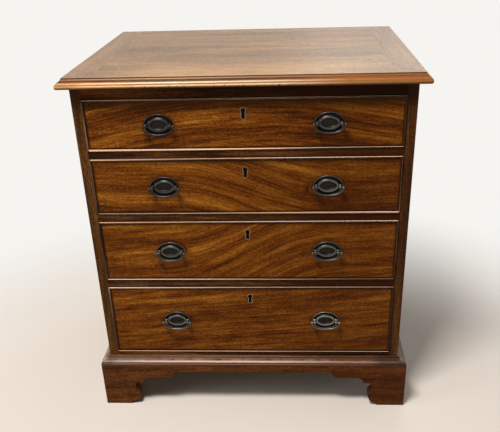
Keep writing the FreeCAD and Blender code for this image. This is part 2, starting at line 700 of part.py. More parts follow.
def tails(low, high, count, shoulder, tip):
    """Tails on the right side's end, from their shoulder's depth to their wider tip's depth."""
    pitch = (high - low + DOVETAIL_PIN_TIP) / count
    spread = abs(tip - shoulder) * DOVETAIL_SLOPE
    inner = DRAWER_HALF - DRAWER_SIDE_THICKNESS
    pieces = []
    for index in range(count):
        tip_low = low + index * pitch
        tip_high = tip_low + pitch - DOVETAIL_PIN_TIP
        corners = [(shoulder, tip_low + spread), (tip, tip_low), (tip, tip_high),
                   (shoulder, tip_high - spread)]
        wire = Part.makePolygon([point(inner, depth, z) for depth, z in corners + corners[:1]])
        pieces.append(Part.Face(wire).extrude(RIGHT * DRAWER_SIDE_THICKNESS))
    return pieces


def front_tails(drawer):
    return tails(drawer.front_low + HALF_PIN, drawer.side_high - HALF_PIN, DOVETAIL_COUNTS[drawer.number],
                 FRONT_THICKNESS, DOVETAIL_LAP)


def back_pins(drawer):
    """Pins on the right end of the drawer's back, which pass through the side."""
    start = DRAWER_LENGTH - DRAWER_BACK_THICKNESS
    end = block(drawer.side_inner, DRAWER_HALF, start, DRAWER_LENGTH, drawer.bottom_high, drawer.back_high)
    return end.cut(tails(drawer.bottom_high + HALF_PIN, drawer.back_high - HALF_PIN,
                         DOVETAIL_COUNTS[drawer.number], start, DRAWER_LENGTH))


def bottom_board(drawer):
    half = drawer.side_inner + SIDE_GROOVE_DEPTH
    return block(-half, half, FRONT_THICKNESS - FRONT_GROOVE_DEPTH, DRAWER_LENGTH,
                 drawer.bottom_low, drawer.bottom_high)


def drawer_side(drawer):
    """Right side: a board with tails in front, sockets behind and a groove for the bottom."""
    board = block(drawer.side_inner, DRAWER_HALF, FRONT_THICKNESS, DRAWER_LENGTH,
                  drawer.floor, drawer.side_high)
    board = board.fuse(front_tails(drawer)).cut([back_pins(drawer), bottom_board(drawer)])
    return board.removeSplitter()


def drawer_back(drawer):
    start = DRAWER_LENGTH - DRAWER_BACK_THICKNESS
    board = block(-drawer.side_inner, drawer.side_inner, start, DRAWER_LENGTH,
                  drawer.bottom_high, drawer.back_high)
    pins = back_pins(drawer)
    return board.fuse([pins, mirrored(pins)]).removeSplitter()


def drawer_front(drawer):
    """Front board, rebated for its cockbeads and cut for dovetails, bottom, lock and handles."""
    board = block(-DRAWER_HALF, DRAWER_HALF, 0, FRONT_THICKNESS, drawer.front_low, drawer.board_high)
    inner = DRAWER_HALF - COCKBEAD_THICKNESS
    rebate = block(inner, DRAWER_HALF, 0, COCKBEAD_LET_IN, drawer.front_low, drawer.board_high)
    under_rebate = block(-DRAWER_HALF, DRAWER_HALF, 0, COCKBEAD_LET_IN,
                         drawer.front_low, drawer.front_low + COCKBEAD_THICKNESS)
    sockets = front_tails(drawer)
    cuts = [rebate, mirrored(rebate), under_rebate, bottom_board(drawer)]
    cuts += sockets + [mirrored(socket) for socket in sockets]
    cuts += [lock_body(drawer), keyhole(drawer, 0.0, FRONT_THICKNESS - LOCK_CASE_DEPTH),
             escutcheon_outline(drawer, 0.0)]
    for x in post_places():
        cuts.append(shank_hole(x, drawer.handle_height, 0.0, FRONT_THICKNESS))
    return board.cut(cuts)


def bead_prism(corner_a, corner_b, upright):
    """Bead with a nose bevelled on both sides, between two opposite corners (x, z) of its rectangle."""
    x0, z0 = corner_a
    x1, z1 = corner_b
    spring = COCKBEAD_BEVEL - COCKBEAD_STAND

    if upright:
        def section(across, depth):
            return point(x0 + across, depth, z0)
        direction = UP * (z1 - z0)
    else:
        def section(across, depth):
            return point(x0, depth, z0 + across)
        direction = RIGHT * (x1 - x0)

    steps = [(COCKBEAD_BEVEL, -COCKBEAD_STAND), (COCKBEAD_THICKNESS - COCKBEAD_BEVEL, -COCKBEAD_STAND),
             (COCKBEAD_THICKNESS, spring), (COCKBEAD_THICKNESS, COCKBEAD_LET_IN), (0.0, COCKBEAD_LET_IN),
             (0.0, spring)]
    return prism(path(section, (0.0, spring), steps), direction)


def mitre_prism(corners):
    """Prism through the beads' depth over a face of (x, z) corners."""
    wire = Part.makePolygon([point(x, -COCKBEAD_STAND, z) for x, z in corners + corners[:1]])
    return Part.Face(wire).extrude(BACK * (COCKBEAD_STAND + COCKBEAD_LET_IN))


def drawer_cockbeads(drawer):
    """Four mitred beads; the top one covers the whole top edge of the front."""
    outer = DRAWER_HALF
    inner = DRAWER_HALF - COCKBEAD_THICKNESS
    low = drawer.front_low
    high = drawer.front_high
    low_in = low + COCKBEAD_THICKNESS
    high_in = high - COCKBEAD_THICKNESS
    top = bead_prism((-outer, high_in), (outer, high), False)
    top = top.common(mitre_prism([(-outer, high), (outer, high), (inner, high_in), (-inner, high_in)]))
    cover = block(-outer, outer, COCKBEAD_LET_IN, FRONT_THICKNESS, high_in, high)
    top = top.fuse(cover).cut(lock_body(drawer)).removeSplitter()
    under = bead_prism((-outer, low), (outer, low_in), False)
    under = under.common(mitre_prism([(-outer, low), (outer, low), (inner, low_in), (-inner, low_in)]))
    right = bead_prism((inner, low), (outer, high), True)
    right = right.common(mitre_prism([(outer, low), (outer, high), (inner, high_in), (inner, low_in)]))
    return [top, under, mirrored(right), right]


# ---- lock
def bolt_depths():
    """Front and back faces of a lock bolt."""
    back = FRONT_THICKNESS - BOLT_INSET
    return back - BOLT_THICKNESS, back


def keyhole(drawer, depth0, depth1):
    """Round eye and slot of the keyhole, cut through from depth0 to depth1."""
    eye = bar_back(0.0, drawer.key_height, depth0, depth1, KEYHOLE_RADIUS)
    half = KEYHOLE_SLOT_WIDTH / 2
    slot = block(-half, half, depth0, depth1, drawer.key_height - KEYHOLE_SLOT_LENGTH, drawer.key_height)
    return eye.fuse(slot).removeSplitter()


def lock_body(drawer):
    """Outside of the lock: its case, the plate on the drawer's inner face and the top selvedge."""
    top = drawer.front_high
    case_front = FRONT_THICKNESS - LOCK_CASE_DEPTH
    case = block(-LOCK_CASE_WIDTH / 2, LOCK_CASE_WIDTH / 2, case_front, FRONT_THICKNESS,
                 top - LOCK_CASE_DROP, top)
    plate = block(-LOCK_PLATE_WIDTH / 2, LOCK_PLATE_WIDTH / 2, FRONT_THICKNESS - LOCK_PLATE_THICKNESS,
                  FRONT_THICKNESS, top - LOCK_PLATE_DROP, top)
    selvedge = block(-LOCK_PLATE_WIDTH / 2, LOCK_PLATE_WIDTH / 2, case_front, FRONT_THICKNESS,
                     top - LOCK_PLATE_THICKNESS, top)
    return case.fuse([plate, selvedge]).removeSplitter()


def lock(drawer):
    """Lock with its bolt's channel and the pin that the key turns on."""
    bolt_front, bolt_back = bolt_depths()
    top = drawer.front_high
    half = BOLT_WIDTH / 2 + BOLT_GAP
    channel = block(-half, half, bolt_front - BOLT_GAP, bolt_back + BOLT_GAP,
                    top - BOLT_TOP_DROP - BOLT_LENGTH, top)
    pin = bar_back(0.0, drawer.key_height, KEY_PIN_STAND, FRONT_THICKNESS - LOCK_CASE_DEPTH, KEY_PIN_RADIUS)
    return lock_body(drawer).cut(channel).fuse(pin).removeSplitter()


def lock_bolt(drawer):
    bolt_front, bolt_back = bolt_depths()
    top = drawer.front_high - BOLT_TOP_DROP
    return block(-BOLT_WIDTH / 2, BOLT_WIDTH / 2, bolt_front, bolt_back, top - BOLT_LENGTH, top)


def escutcheon_outline(drawer, stand):
    """Keyhole-shaped prism, as wide as the escutcheon, from its stand in front to its full depth."""
    z = drawer.key_height
    half = ESCUTCHEON_WAIST_WIDTH / 2
    head = bar_back(0.0, z, -stand, ESCUTCHEON_DEPTH, ESCUTCHEON_HEAD_RADIUS)
    foot = bar_back(0.0, z - ESCUTCHEON_FOOT_DROP, -stand, ESCUTCHEON_DEPTH, ESCUTCHEON_FOOT_RADIUS)
    waist = block(-half, half, -stand, ESCUTCHEON_DEPTH, z - ESCUTCHEON_FOOT_DROP, z)
    return head.fuse([foot, waist]).removeSplitter()


def escutcheon(drawer):
    outer = escutcheon_outline(drawer, ESCUTCHEON_STAND)
    return outer.cut(keyhole(drawer, -ESCUTCHEON_STAND, ESCUTCHEON_DEPTH))


# ---- handles
def handle_places():
    return [-HANDLE_SPREAD / 2, HANDLE_SPREAD / 2]


def post_places():
    places = []
    for x in handle_places():
        places += [x - POST_SPREAD / 2, x + POST_SPREAD / 2]
    return places


def plate_ring(x, z, inset, stand):
    """Corners of an oval like the plate's outline, set in from its ends and standing off the face."""
    half_width = PLATE_HALF_WIDTH - inset
    half_height = PLATE_HALF_HEIGHT * half_width / PLATE_HALF_WIDTH
    corners = []
    for index in range(PLATE_SIDES):
        angle = 2 * math.pi * index / PLATE_SIDES
        corners.append(point(x + half_width * math.cos(angle), -stand, z + half_height * math.sin(angle)))
    return corners


def handle_plate(x, z):
    """Pressed plate: raised rim, channel, raised oval and dished middle, pierced for both posts."""
    channel = PLATE_RIM_WIDTH + PLATE_CHANNEL_WIDTH
    crest = channel + PLATE_DOME_WIDTH
    dish = crest + PLATE_DISH_SLOPE
    places = [(0.0, 0.0), (0.0, PLATE_RIM_STAND), (PLATE_RIM_WIDTH, PLATE_THICKNESS),
              (channel, PLATE_THICKNESS), (crest, PLATE_DOME_STAND), (dish, PLATE_DISH_STAND)]
    plate = skin([plate_ring(x, z, inset, stand) for inset, stand in places])
    holes = []
    for side in (-1, 1):
        holes.append(bar_back(x + side * POST_SPREAD / 2, z, -PLATE_DOME_STAND, 0.0,
                              POST_STEM_RADIUS + POST_FIT))
    return plate.cut(holes)


def shank_hole(x, z, depth0, depth1):
    """Square hole that a post's shank passes through."""
    return square_bar_back(x, z, depth0, depth1, POST_SHANK_WIDTH + 2 * POST_FIT)


def handle_post(x, z):
    """Pommel post: square shank, round stem, neck and head, bored across for the bail's pin."""
    band_foot = BAIL_AXIS_STAND - POST_HEAD_BAND / 2
    band_top = BAIL_AXIS_STAND + POST_HEAD_BAND / 2
    shank = square_bar_back(x, z, 0.0, FRONT_THICKNESS + POST_SHANK_END, POST_SHANK_WIDTH)
    pommel = turned_back(x, z, [
        (POST_STEM_RADIUS, 0.0), (POST_STEM_RADIUS, -POST_STEM_STAND),
        (POST_NECK_RADIUS, POST_HEAD_BEVEL - band_foot), (POST_HEAD_RADIUS, -band_foot),
        (POST_HEAD_RADIUS, -band_top), (POST_CAP_RADIUS, -band_top - POST_HEAD_BEVEL)])
    bore_radius = clear_radius(BAIL_PIN_RADIUS + POST_FIT, ROD_SIDES)
    bore = turned_across(x, -BAIL_AXIS_STAND, z,
                         [(bore_radius, -POST_HEAD_RADIUS), (bore_radius, POST_HEAD_RADIUS)])
    return pommel.fuse(shank).cut(bore)


def handle_nut(x, z):
    back = FRONT_THICKNESS + NUT_THICKNESS
    nut = square_bar_back(x, z, FRONT_THICKNESS, back, NUT_WIDTH)
    return nut.cut(shank_hole(x, z, FRONT_THICKNESS, back))


def bow_point(index):
    """Corner of the bail's half-oval bow as (run, rise), counted from its right end."""
    angle = math.pi * index / BAIL_RUNS
    return FreeCAD.Vector(BAIL_HALF_WIDTH * math.cos(angle), 0, -BAIL_DROP * math.sin(angle))


def bail_bow(x, z):
    """Bow of straight runs that meet in mitres, hanging between the two ends of the bail."""
    rings = []
    for index in range(BAIL_RUNS + 1):
        here = bow_point(index)
        arriving = (here - bow_point(index - 1)).normalize()
        leaving = (bow_point(index + 1) - here).normalize()
        outward = (arriving - leaving).normalize()
        mitre = outward * (1 / outward.cross(arriving).Length)
        rings.append(ring(point(x, -BAIL_AXIS_STAND, z) + here, BAIL_ROD_RADIUS, mitre, BACK, ROD_SIDES))
    return skin(rings)


def bail_end(x, z, side):
    """Ball at one end of the bow, with the pin that points inwards into the post's head."""
    half_band = BAIL_BALL_BAND / 2
    profile = [(BAIL_PIN_RADIUS, BAIL_PIN_TIP - BAIL_HALF_WIDTH), (BAIL_PIN_RADIUS, -BAIL_BALL_RADIUS),
               (BAIL_BALL_RADIUS, -half_band), (BAIL_BALL_RADIUS, half_band),
               (BAIL_PIN_RADIUS, BAIL_BALL_RADIUS)]
    return turned_across(x + side * BAIL_HALF_WIDTH, -BAIL_AXIS_STAND, z,
                         [(radius, side * along) for radius, along in profile])


def bail(x, z):
    return bail_bow(x, z).fuse([bail_end(x, z, -1), bail_end(x, z, 1)]).removeSplitter()


def make_drawer(number):
    drawer = DrawerSizes(number)
    name = "drawer_%d_" % number
    side = drawer_side(drawer)
    z = drawer.handle_height
    posts = [handle_post(x, z) for x in post_places()]
    nuts = [handle_nut(x, z) for x in post_places()]
    left, right = handle_places()
    save(name + "front", [drawer_front(drawer)])
    save(name + "cockbeads", drawer_cockbeads(drawer))
    save(name + "sides", [mirrored(side), side])
    save(name + "back", [drawer_back(drawer)])
    save(name + "bottom", [bottom_board(drawer)])
    save(name + "lock", [lock(drawer), escutcheon(drawer)])
    save(name + "lock_bolt", [lock_bolt(drawer)])
    save(name + "handle_plates", [handle_plate(x, z) for x in handle_places()])
    save(name + "handle_posts", posts + nuts)
    save(name + "bail_left", [bail(left, z)])
    save(name + "bail_right", [bail(right, z)])


def main():
    os.makedirs("parts", exist_ok=True)
    make_top()
    make_sides()
    make_bottom()
    make_back()
    make_top_rails()
    make_blades()
    make_runners()
    make_stops()
    make_base_mouldings()
    make_feet()
    make_plinth_strips()
    make_glue_blocks()
    for number in DRAWERS:
        make_drawer(number)


main()
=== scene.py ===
import json
import math

import bpy
from mathutils import Matrix, Vector


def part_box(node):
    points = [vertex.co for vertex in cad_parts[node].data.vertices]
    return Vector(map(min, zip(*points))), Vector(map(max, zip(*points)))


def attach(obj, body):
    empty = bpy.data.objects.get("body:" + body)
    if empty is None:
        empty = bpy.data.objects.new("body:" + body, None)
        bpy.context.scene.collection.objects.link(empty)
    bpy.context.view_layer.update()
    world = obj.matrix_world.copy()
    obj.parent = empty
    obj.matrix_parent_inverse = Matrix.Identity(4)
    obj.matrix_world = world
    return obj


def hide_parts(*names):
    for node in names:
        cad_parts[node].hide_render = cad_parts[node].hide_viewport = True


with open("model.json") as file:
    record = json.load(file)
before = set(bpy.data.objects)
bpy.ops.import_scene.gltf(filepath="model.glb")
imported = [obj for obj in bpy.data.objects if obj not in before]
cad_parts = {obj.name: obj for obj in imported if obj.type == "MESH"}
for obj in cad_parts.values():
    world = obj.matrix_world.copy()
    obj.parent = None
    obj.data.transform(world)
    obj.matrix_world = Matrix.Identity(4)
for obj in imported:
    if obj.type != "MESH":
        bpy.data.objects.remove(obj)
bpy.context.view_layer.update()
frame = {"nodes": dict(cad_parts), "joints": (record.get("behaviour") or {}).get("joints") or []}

DRAWERS = (1, 2, 3, 4)
SIDES = ("left", "right")
MM = 0.001
FRONT_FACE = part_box("side_left")[0].y
HALF_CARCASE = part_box("side_right")[1].x
TOP_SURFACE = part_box("top_board")[1].z
BEAD_TOPS = {number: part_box("drawer_%d_cockbeads" % number)[1].z for number in DRAWERS}
BEAD_WIDTH = 0.003


# ---- drawing finishes with nodes
def srgb(red, green, blue):
    """Linear colour from the 0-255 values a maker would mix."""
    def linear(value):
        value /= 255
        return value / 12.92 if value <= 0.04045 else ((value + 0.055) / 1.055) ** 2.4
    return (linear(red), linear(green), linear(blue), 1.0)


class Wire:
    """A value that runs between nodes. Arithmetic on it adds Math nodes."""

    def __init__(self, nodes, socket):
        self.nodes = nodes
        self.socket = socket

    def maths(self, operation, *inputs):
        return self.nodes.node("ShaderNodeMath", {"operation": operation}, *inputs)

    def __add__(self, other):
        return self.maths("ADD", self, other)

    def __sub__(self, other):
        return self.maths("SUBTRACT", self, other)

    def __rsub__(self, other):
        return self.maths("SUBTRACT", other, self)

    def __mul__(self, other):
        return self.maths("MULTIPLY", self, other)

    def __pow__(self, other):
        return self.maths("POWER", self, other)

    __radd__ = __add__
    __rmul__ = __mul__

    def absolute(self):
        return self.maths("ABSOLUTE", self)

    def fraction(self):
        return self.maths("FRACT", self)

    def least(self, other):
        return self.maths("MINIMUM", self, other)

    def most(self, other):
        return self.maths("MAXIMUM", self, other)

    def above(self, other):
        return self.maths("GREATER_THAN", self, other)

    def ease(self, low, high):
        """0 below low, 1 above high and smooth between; the other way round if low is the larger."""
        return self.nodes.node("ShaderNodeMapRange", {"interpolation_type": "SMOOTHSTEP"},
                               self, low, high, 0.0, 1.0)


class Nodes:
    """The nodes of a finish or of the room."""

    def __init__(self, tree):
        self.tree = tree

    def node(self, kind, settings, *inputs, output=""):
        """Adds a node, applies its settings, fills its inputs in order and returns its first or named output."""
        made = self.tree.nodes.new(kind)
        for name, value in settings.items():
            if name == "stops":
                self.set_stops(made.color_ramp.elements, value)
            else:
                setattr(made, name, value)
        sockets = [socket for socket in made.inputs if socket.enabled]
        for socket, value in zip(sockets, inputs):
            if isinstance(value, Wire):
                self.tree.links.new(value.socket, socket)
            else:
                socket.default_value = value
        return Wire(self, next(socket for socket in made.outputs
                               if socket.enabled and output in ("", socket.name)))

    def set_stops(self, stops, wanted):
        for index, (place, colour) in enumerate(wanted):
            stop = stops[index] if index < len(stops) else stops.new(place)
            stop.position = place
            stop.color = colour

    def from_the_eye(self):
        """1 for what the eye sees straight, in a reflection or through glass."""
        straight, mirrored, through = [self.node("ShaderNodeLightPath", {}, output="Is %s Ray" % way)
                                       for way in ("Camera", "Glossy", "Transmission")]
        return straight.most(mirrored).most(through)

    def shine_out(self, wire, end):
        self.tree.links.new(wire.socket, self.tree.nodes[end].inputs[0])


class Finish(Nodes):
    """One material: a Principled shader with constants, and the nodes that vary over the surface."""

    def __init__(self, name, **constants):
        self.material = bpy.data.materials.new(name)
        self.material.use_nodes = True
        super().__init__(self.material.node_tree)
        self.shader = self.tree.nodes["Principled BSDF"]
        for socket, value in constants.items():
            self.shader.inputs[socket.replace("_", " ")].default_value = value

    def place(self):
        return self.node("ShaderNodeTexCoord", {}, output="Object")

    def facing(self):
        return self.node("ShaderNodeTexCoord", {}, output="Normal")

    def axes(self, vector):
        return [self.node("ShaderNodeSeparateXYZ", {}, vector, output=axis) for axis in "XYZ"]

    def height(self):
        return self.axes(self.place())[2]

    def vector(self, x, y, z):
        return self.node("ShaderNodeCombineXYZ", {}, x, y, z)

    def noise(self, vector, detail, roughness=0.5):
        return self.node("ShaderNodeTexNoise", {}, vector, 1.0, detail, roughness)

    def ramp(self, value, stops):
        return self.node("ShaderNodeValToRGB", {"stops": stops}, value)

    def blend(self, share, first, second):
        return self.node("ShaderNodeMix", {"data_type": "RGBA", "clamp_factor": True}, share, first, second)

    def near_edges(self, reach):
        """1 in a tight corner between pieces, falling to 0 where the surface is open for reach metres."""
        return 1 - self.node("ShaderNodeAmbientOcclusion", {"samples": 8}, (1, 1, 1, 1), reach, output="AO")

    def feed(self, name, wire):
        self.tree.links.new(wire.socket, self.shader.inputs[name])

    def bump(self, height, strength, distance):
        self.feed("Normal", self.node("ShaderNodeBump", {}, strength, distance, 1.0, height))


# ---- woods
# Painted shade: the colour laid in the corners between pieces, round the beads, under the top and along the gaps
# over the beads.
PAINTED_SHADE_BROWN = srgb(22, 8, 3)
STAIN = srgb(54, 18, 5)
# Painted sheen on the top's front.
PAINTED_SHEEN = srgb(196, 148, 96)
# Painted highlight on the beads.
PAINTED_BEAD_HIGHLIGHT = srgb(250, 204, 172)
CHIPPED = srgb(30, 12, 5)
GREYED_END = srgb(52, 48, 50)
# Darker at a moulding's right end.
RIGHT_END_DARK = srgb(30, 25, 24)
# Painted shade on a moulding's underside.
UNDERSIDE_SHADE = srgb(28, 12, 5)
KNOT = srgb(70, 42, 22)
CORNER_DARK = srgb(40, 28, 18)
BOARD_GAP = srgb(26, 18, 12)

# The five tones of a mahogany lie at these places between its darkest and its lightest streaks.
TONE_PLACES = (0.0, 0.30, 0.52, 0.75, 1.0)

# Distances and heights in metres. A pair is where a mark begins and where it is full.
# How far the painted shade in a polished piece's corners reaches.
POLISHED_SHADE_REACH = 0.012
TIMBER_CORNER_REACH = 0.03
BACK_FOOT_TURN = -0.001
# The painted highlight on the beads is weaker on the side beads, which stand this far from the middle, and on the
# first drawer's bottom bead, at these heights.
UPRIGHT_BEADS = (0.3258, 0.3268)
FIRST_DRAWER_FOOT = (TOP_SURFACE - 0.163, TOP_SURFACE - 0.157)
# Painted shadow under the top: where it begins to darken a side, and where it is full.
UNDER_THE_TOP = (TOP_SURFACE - 0.085, TOP_SURFACE - 0.03)
# Painted shade along the gap over each drawer's top bead: how far it lies above the bead's top, and how far it
# spreads.
SEAM_RISE = 0.0004
SEAM_SPREAD = (0.0024, 0.0010)


def grain_axes(finish, run, mitred=False):
    """Along, across and through the grain, in metres; a mitred piece turns at its front corners."""
    x, y, z = finish.axes(finish.place())
    along, across, through = {"x": (x, z, y), "y": (y, z, x), "z": (z, x, y)}[run]
    if mitred:
        beside = x.absolute() - HALF_CARCASE
        turned_grain = beside.above(BACK_FOOT_TURN if mitred == "back" else FRONT_FACE - y)
        along = x + (y - x) * turned_grain
        through = y + (x - y) * turned_grain
    return along, across, through


def mahogany(name, run, tones, rise=0.0, arch=0.0, sweep=(0.0, 0.0, 0.1), seed=0.0, streak=1.0, figure=0.5,
             corner_shade=0.5, mitred=False, shine=0.26, gloss=0.14, tint=(255, 204, 150), bead_highlight=None,
             deeper=0.0, deep=(56, 14, 2), stains=(), front_sheen=0.0, bands=None, board="", shade=0.0, top_shadow=0.0,
             gap_shade=0.0):
    """Polished mahogany: growth streaks that flow with the board, pores, cross figure and painted shade.

    rise, arch and sweep bend the streaks, and streak and figure are their strengths. shine is the roughness of
    the polish, gloss and tint its reflections. The others add painted light and marks: a painted highlight on the
    beads, painted shade deepening to the right, stains, a painted sheen on the top's front, the bands of a
    moulding with their painted highlights, painted shade and chips, painted shade round a drawer's board, the
    painted shadow under the top, and painted shade along the gaps over the beads.
    """
    finish = Finish(name, Specular_IOR_Level=gloss, IOR=1.5, Specular_Tint=srgb(*tint))
    along, across, through = grain_axes(finish, run, mitred)
    flow = along * rise + along * along * arch
    lift, first, last = sweep
    if lift:
        flow = flow + along.ease(first, last) * lift
    sway = finish.noise(finish.vector(along * 2.2 + seed, across * 7.0, through * 7.0), 2.0)
    line = across - flow + (sway - 0.5) * 0.030
    depth = through * 0.8

    def streaks(lengthwise, crosswise, detail, roughness):
        place = finish.vector(along * lengthwise + seed, line * crosswise, depth * crosswise)
        return finish.noise(place, detail, roughness)

    broad = streaks(2.6, 34.0, 2.0, 0.55)
    middle = streaks(8.0, 190.0, 3.0, 0.6)
    ribbon = streaks(24.0, 95.0, 2.0, 0.6)
    fleck = streaks(150.0, 360.0, 2.0, 0.6)
    fine = finish.noise(finish.vector(along * 22.0, line * 520.0 + seed, depth * 520.0), 2.0, 0.6)
    pores = finish.noise(finish.vector(along * 110.0, line * 620.0, depth * 620.0 + seed), 1.0, 0.5)
    tone = ((broad - 0.5) * 1.1 + (middle - 0.5) * 0.8 + (fine - 0.5) * 0.55) * streak
    tone = tone + (ribbon - 0.5) * figure + (fleck - 0.5) * 0.95 + 0.5
    colour = finish.ramp(tone, list(zip(TONE_PLACES, tones)))
    dark = tones[0]
    hole = pores.ease(0.58, 0.72)
    colour = finish.blend(hole * 0.5, colour, dark)

    # Painted highlight on the beads, and painted shade on their faces that do not turn forward.
    if bead_highlight:
        colour = painted_bead_highlight(finish, colour, dark, bead_highlight, along, streaks(40.0, 60.0, 3.0, 0.6))
    # Painted shade, darker towards the right.
    if deeper:
        colour = finish.blend(along.ease(-0.12, 0.26) * deeper, colour, srgb(*deep))
    for stain in stains:
        colour = finish.blend(stained(finish, fleck, *stain), colour, STAIN)
    # Painted sheen: lighter and more golden towards the top's front, away from its ends.
    if front_sheen:
        sheen_share = through.ease(-0.08, -0.25) * (1 - along.absolute().ease(0.12, 0.32)) * (ribbon * 0.8 + 0.3)
        colour = finish.blend(sheen_share * front_sheen, colour, PAINTED_SHEEN)
    if bands:
        colour = moulded_bands(finish, colour, bands, along, across, seed)

    # Painted shade in the corners between pieces, round a drawer's beads, under the top and along the gaps over
    # the beads.
    grime_and_shade = finish.near_edges(POLISHED_SHADE_REACH) * corner_shade
    if board:
        grime_and_shade = grime_and_shade.most(framed_shade(finish, board, shade))
    # Painted shadow under the top.
    if top_shadow:
        grime_and_shade = grime_and_shade.most(finish.height().ease(*UNDER_THE_TOP) * top_shadow)
    # Painted shade along the gaps over the beads.
    if gap_shade:
        grime_and_shade = gap_shade_lines(finish, grime_and_shade, gap_shade)
    finish.feed("Base Color", finish.blend(grime_and_shade, colour, PAINTED_SHADE_BROWN))
    finish.feed("Roughness", fine * 0.16 + hole * 0.15 + shine)
    finish.bump(fine * 0.5 - hole * 0.8, 0.22, 0.0004)
    return finish.material


def painted_bead_highlight(finish, colour, dark, bead_highlight, along, patchy):
    """A bead with a painted highlight on its rounded front and upper side, weaker on its uprights and towards the
    right, and painted shade on its faces that do not turn forward.
    """
    front, up = finish.axes(finish.facing())[1:]
    height = finish.height()
    forward = (0 - front).ease(*bead_highlight["crown"])
    bright = patchy.ease(0.0, 0.36) + (up - 0.3) * 0.9
    # Painted highlight: lighter on the faces that turn up and forward.
    worn_and_lit = up.ease(-0.5, 0.1) * forward * bright * bead_highlight["strength"]
    worn_and_lit = worn_and_lit * (1 - along.absolute().ease(*UPRIGHT_BEADS) * 0.84) * (1 - along.ease(-0.1, 0.33) * 0.2)
    on_top = height.ease(*bead_highlight["top_run"])
    below, above = bead_highlight["wear_and_light"]
    worn_and_lit = worn_and_lit * (1.0 - height.ease(*FIRST_DRAWER_FOOT) * 0.4) * (on_top * (above - below) + below)
    colour = finish.blend(worn_and_lit, colour, PAINTED_BEAD_HIGHLIGHT)
    # Painted shade on the faces that do not turn forward.
    return finish.blend((1 - forward) * 0.8, colour, dark)


def stained(finish, patchy, middle, height, wide, tall, strength, ring=False):
    """An oval stain, or the upper right part of a thin oval line, given in mm."""
    x, _, z = finish.axes(finish.place())
    across = (x - middle * MM) * (1000 / wide)
    up = (z - height * MM) * (1000 / tall)
    away = (across * across + up * up) ** 0.5
    if ring:
        return (1 - (away - 1).absolute().ease(0.02, 0.08)) * (across + up).ease(0.7, 1.1) * strength
    return away.ease(1.1, 0.5) * (patchy * 0.6 + 0.6) * strength


def framed_shade(finish, board, shade):
    """Painted shade that the beads and the top cast round a drawer's front, deepest under its top bead, and
    painted shade inside its keyhole.
    """
    low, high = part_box(board)
    x, y, z = finish.axes(finish.place())
    across = x.absolute()
    from_side = high.x - BEAD_WIDTH - across
    from_top = high.z - BEAD_WIDTH - z
    from_foot = z - low.z - BEAD_WIDTH
    beside = 1 - from_side.ease(-0.001, 0.007)
    under = 1 - from_top.ease(-0.002, shade)
    over = 1 - from_foot.ease(-0.001, 0.004)
    seam = 1 - from_side.least(from_top.least(from_foot)).ease(0.0014, 0.0064)
    inward = y - FRONT_FACE
    # Painted shade inside the keyhole's recess.
    pit = across.ease(0.009, 0.0075) * inward.ease(0.0003, 0.001)
    # Painted shade beside the side beads, under the top bead, over the foot bead and along the beads' inner edges.
    corner_shade = (beside * 0.62).most(under * 0.74).most(over * 0.45).most(seam * 0.85)
    return (corner_shade * (1 - inward.ease(0.0004, 0.0012))).most(pit)


def gap_shade_lines(finish, grime_and_shade, strength):
    """Adds painted shade along the gap over each drawer's top bead."""
    height = finish.height()
    for number in DRAWERS:
        gap = BEAD_TOPS[number] + SEAM_RISE
        grime_and_shade = grime_and_shade.most((height - gap).absolute().ease(*SEAM_SPREAD) * strength)
    return grime_and_shade


def moulded_bands(finish, colour, worn_and_lit, along, across, seed):
    """Painted highlights and shade in bands that follow a moulding, with some wear and chips, plainer to the
    right. Bands are (drop in mm, colour).
    """
    x, _, z = finish.axes(finish.place())
    drop = (worn_and_lit["top"] - z) * 1000
    wobble = finish.noise(finish.vector(along * 45.0 + seed, across * 90.0, 0.0), 3.0, 0.65)
    patch = finish.noise(finish.vector(along * 16.0 + seed, across * 30.0, 3.0), 2.0, 0.6)
    lowest = worn_and_lit["bands"][-1][0]
    stops = [(low / lowest, tone) for low, tone in worn_and_lit["bands"]]
    wear_and_light = finish.ramp((drop + (wobble - 0.5) * worn_and_lit["waver"]) * (1 / lowest), stops)
    chips = finish.noise(finish.vector(along * worn_and_lit["chip_run"] + seed, across * 60.0, 0.0), 2.0, 0.6)
    first, last = worn_and_lit["chips"]
    chipped = chips.ease(0.55, 0.64) * drop.ease(first, first + 1.5) * (1 - drop.ease(last, last + 1.0))
    wear_and_light = finish.blend(chipped * 0.8, wear_and_light, CHIPPED)
    # Painted highlight on the left part.
    left = x.ease(-0.16, -0.33) * patch.ease(0.25, 0.55) * drop.ease(7.0, 8.5)
    wear_and_light = finish.blend(left * 0.5, wear_and_light, worn_and_lit["left"])
    ends = x.absolute().ease(HALF_CARCASE - 0.03, HALF_CARCASE + 0.006) * worn_and_lit["ends"]
    wear_and_light = finish.blend(ends * patch.ease(0.3, 0.6), wear_and_light, GREYED_END)
    plain = finish.blend(0.75, colour, worn_and_lit["plain"])
    # The painted highlights fade to the plain colour towards the right.
    share = x.ease(0.04, 0.24) * worn_and_lit["share"] + patch.ease(0.55, 0.75) * 0.35
    wear_and_light = finish.blend(share * drop.ease(1.2, 1.9), wear_and_light, plain)
    # Darker towards the right end.
    right_end_dark = x.ease(HALF_CARCASE - 0.075, HALF_CARCASE - 0.03) * (patch * 0.6 + 0.5) * worn_and_lit["right_end_dark"]
    wear_and_light = finish.blend(right_end_dark, wear_and_light, RIGHT_END_DARK)
    # Painted shade on the underside.
    wear_and_light = finish.blend(drop.ease(*worn_and_lit["under"]) * 0.7, wear_and_light, UNDERSIDE_SHADE)
    return finish.blend(drop.ease(0.05, 0.3), colour, wear_and_light)


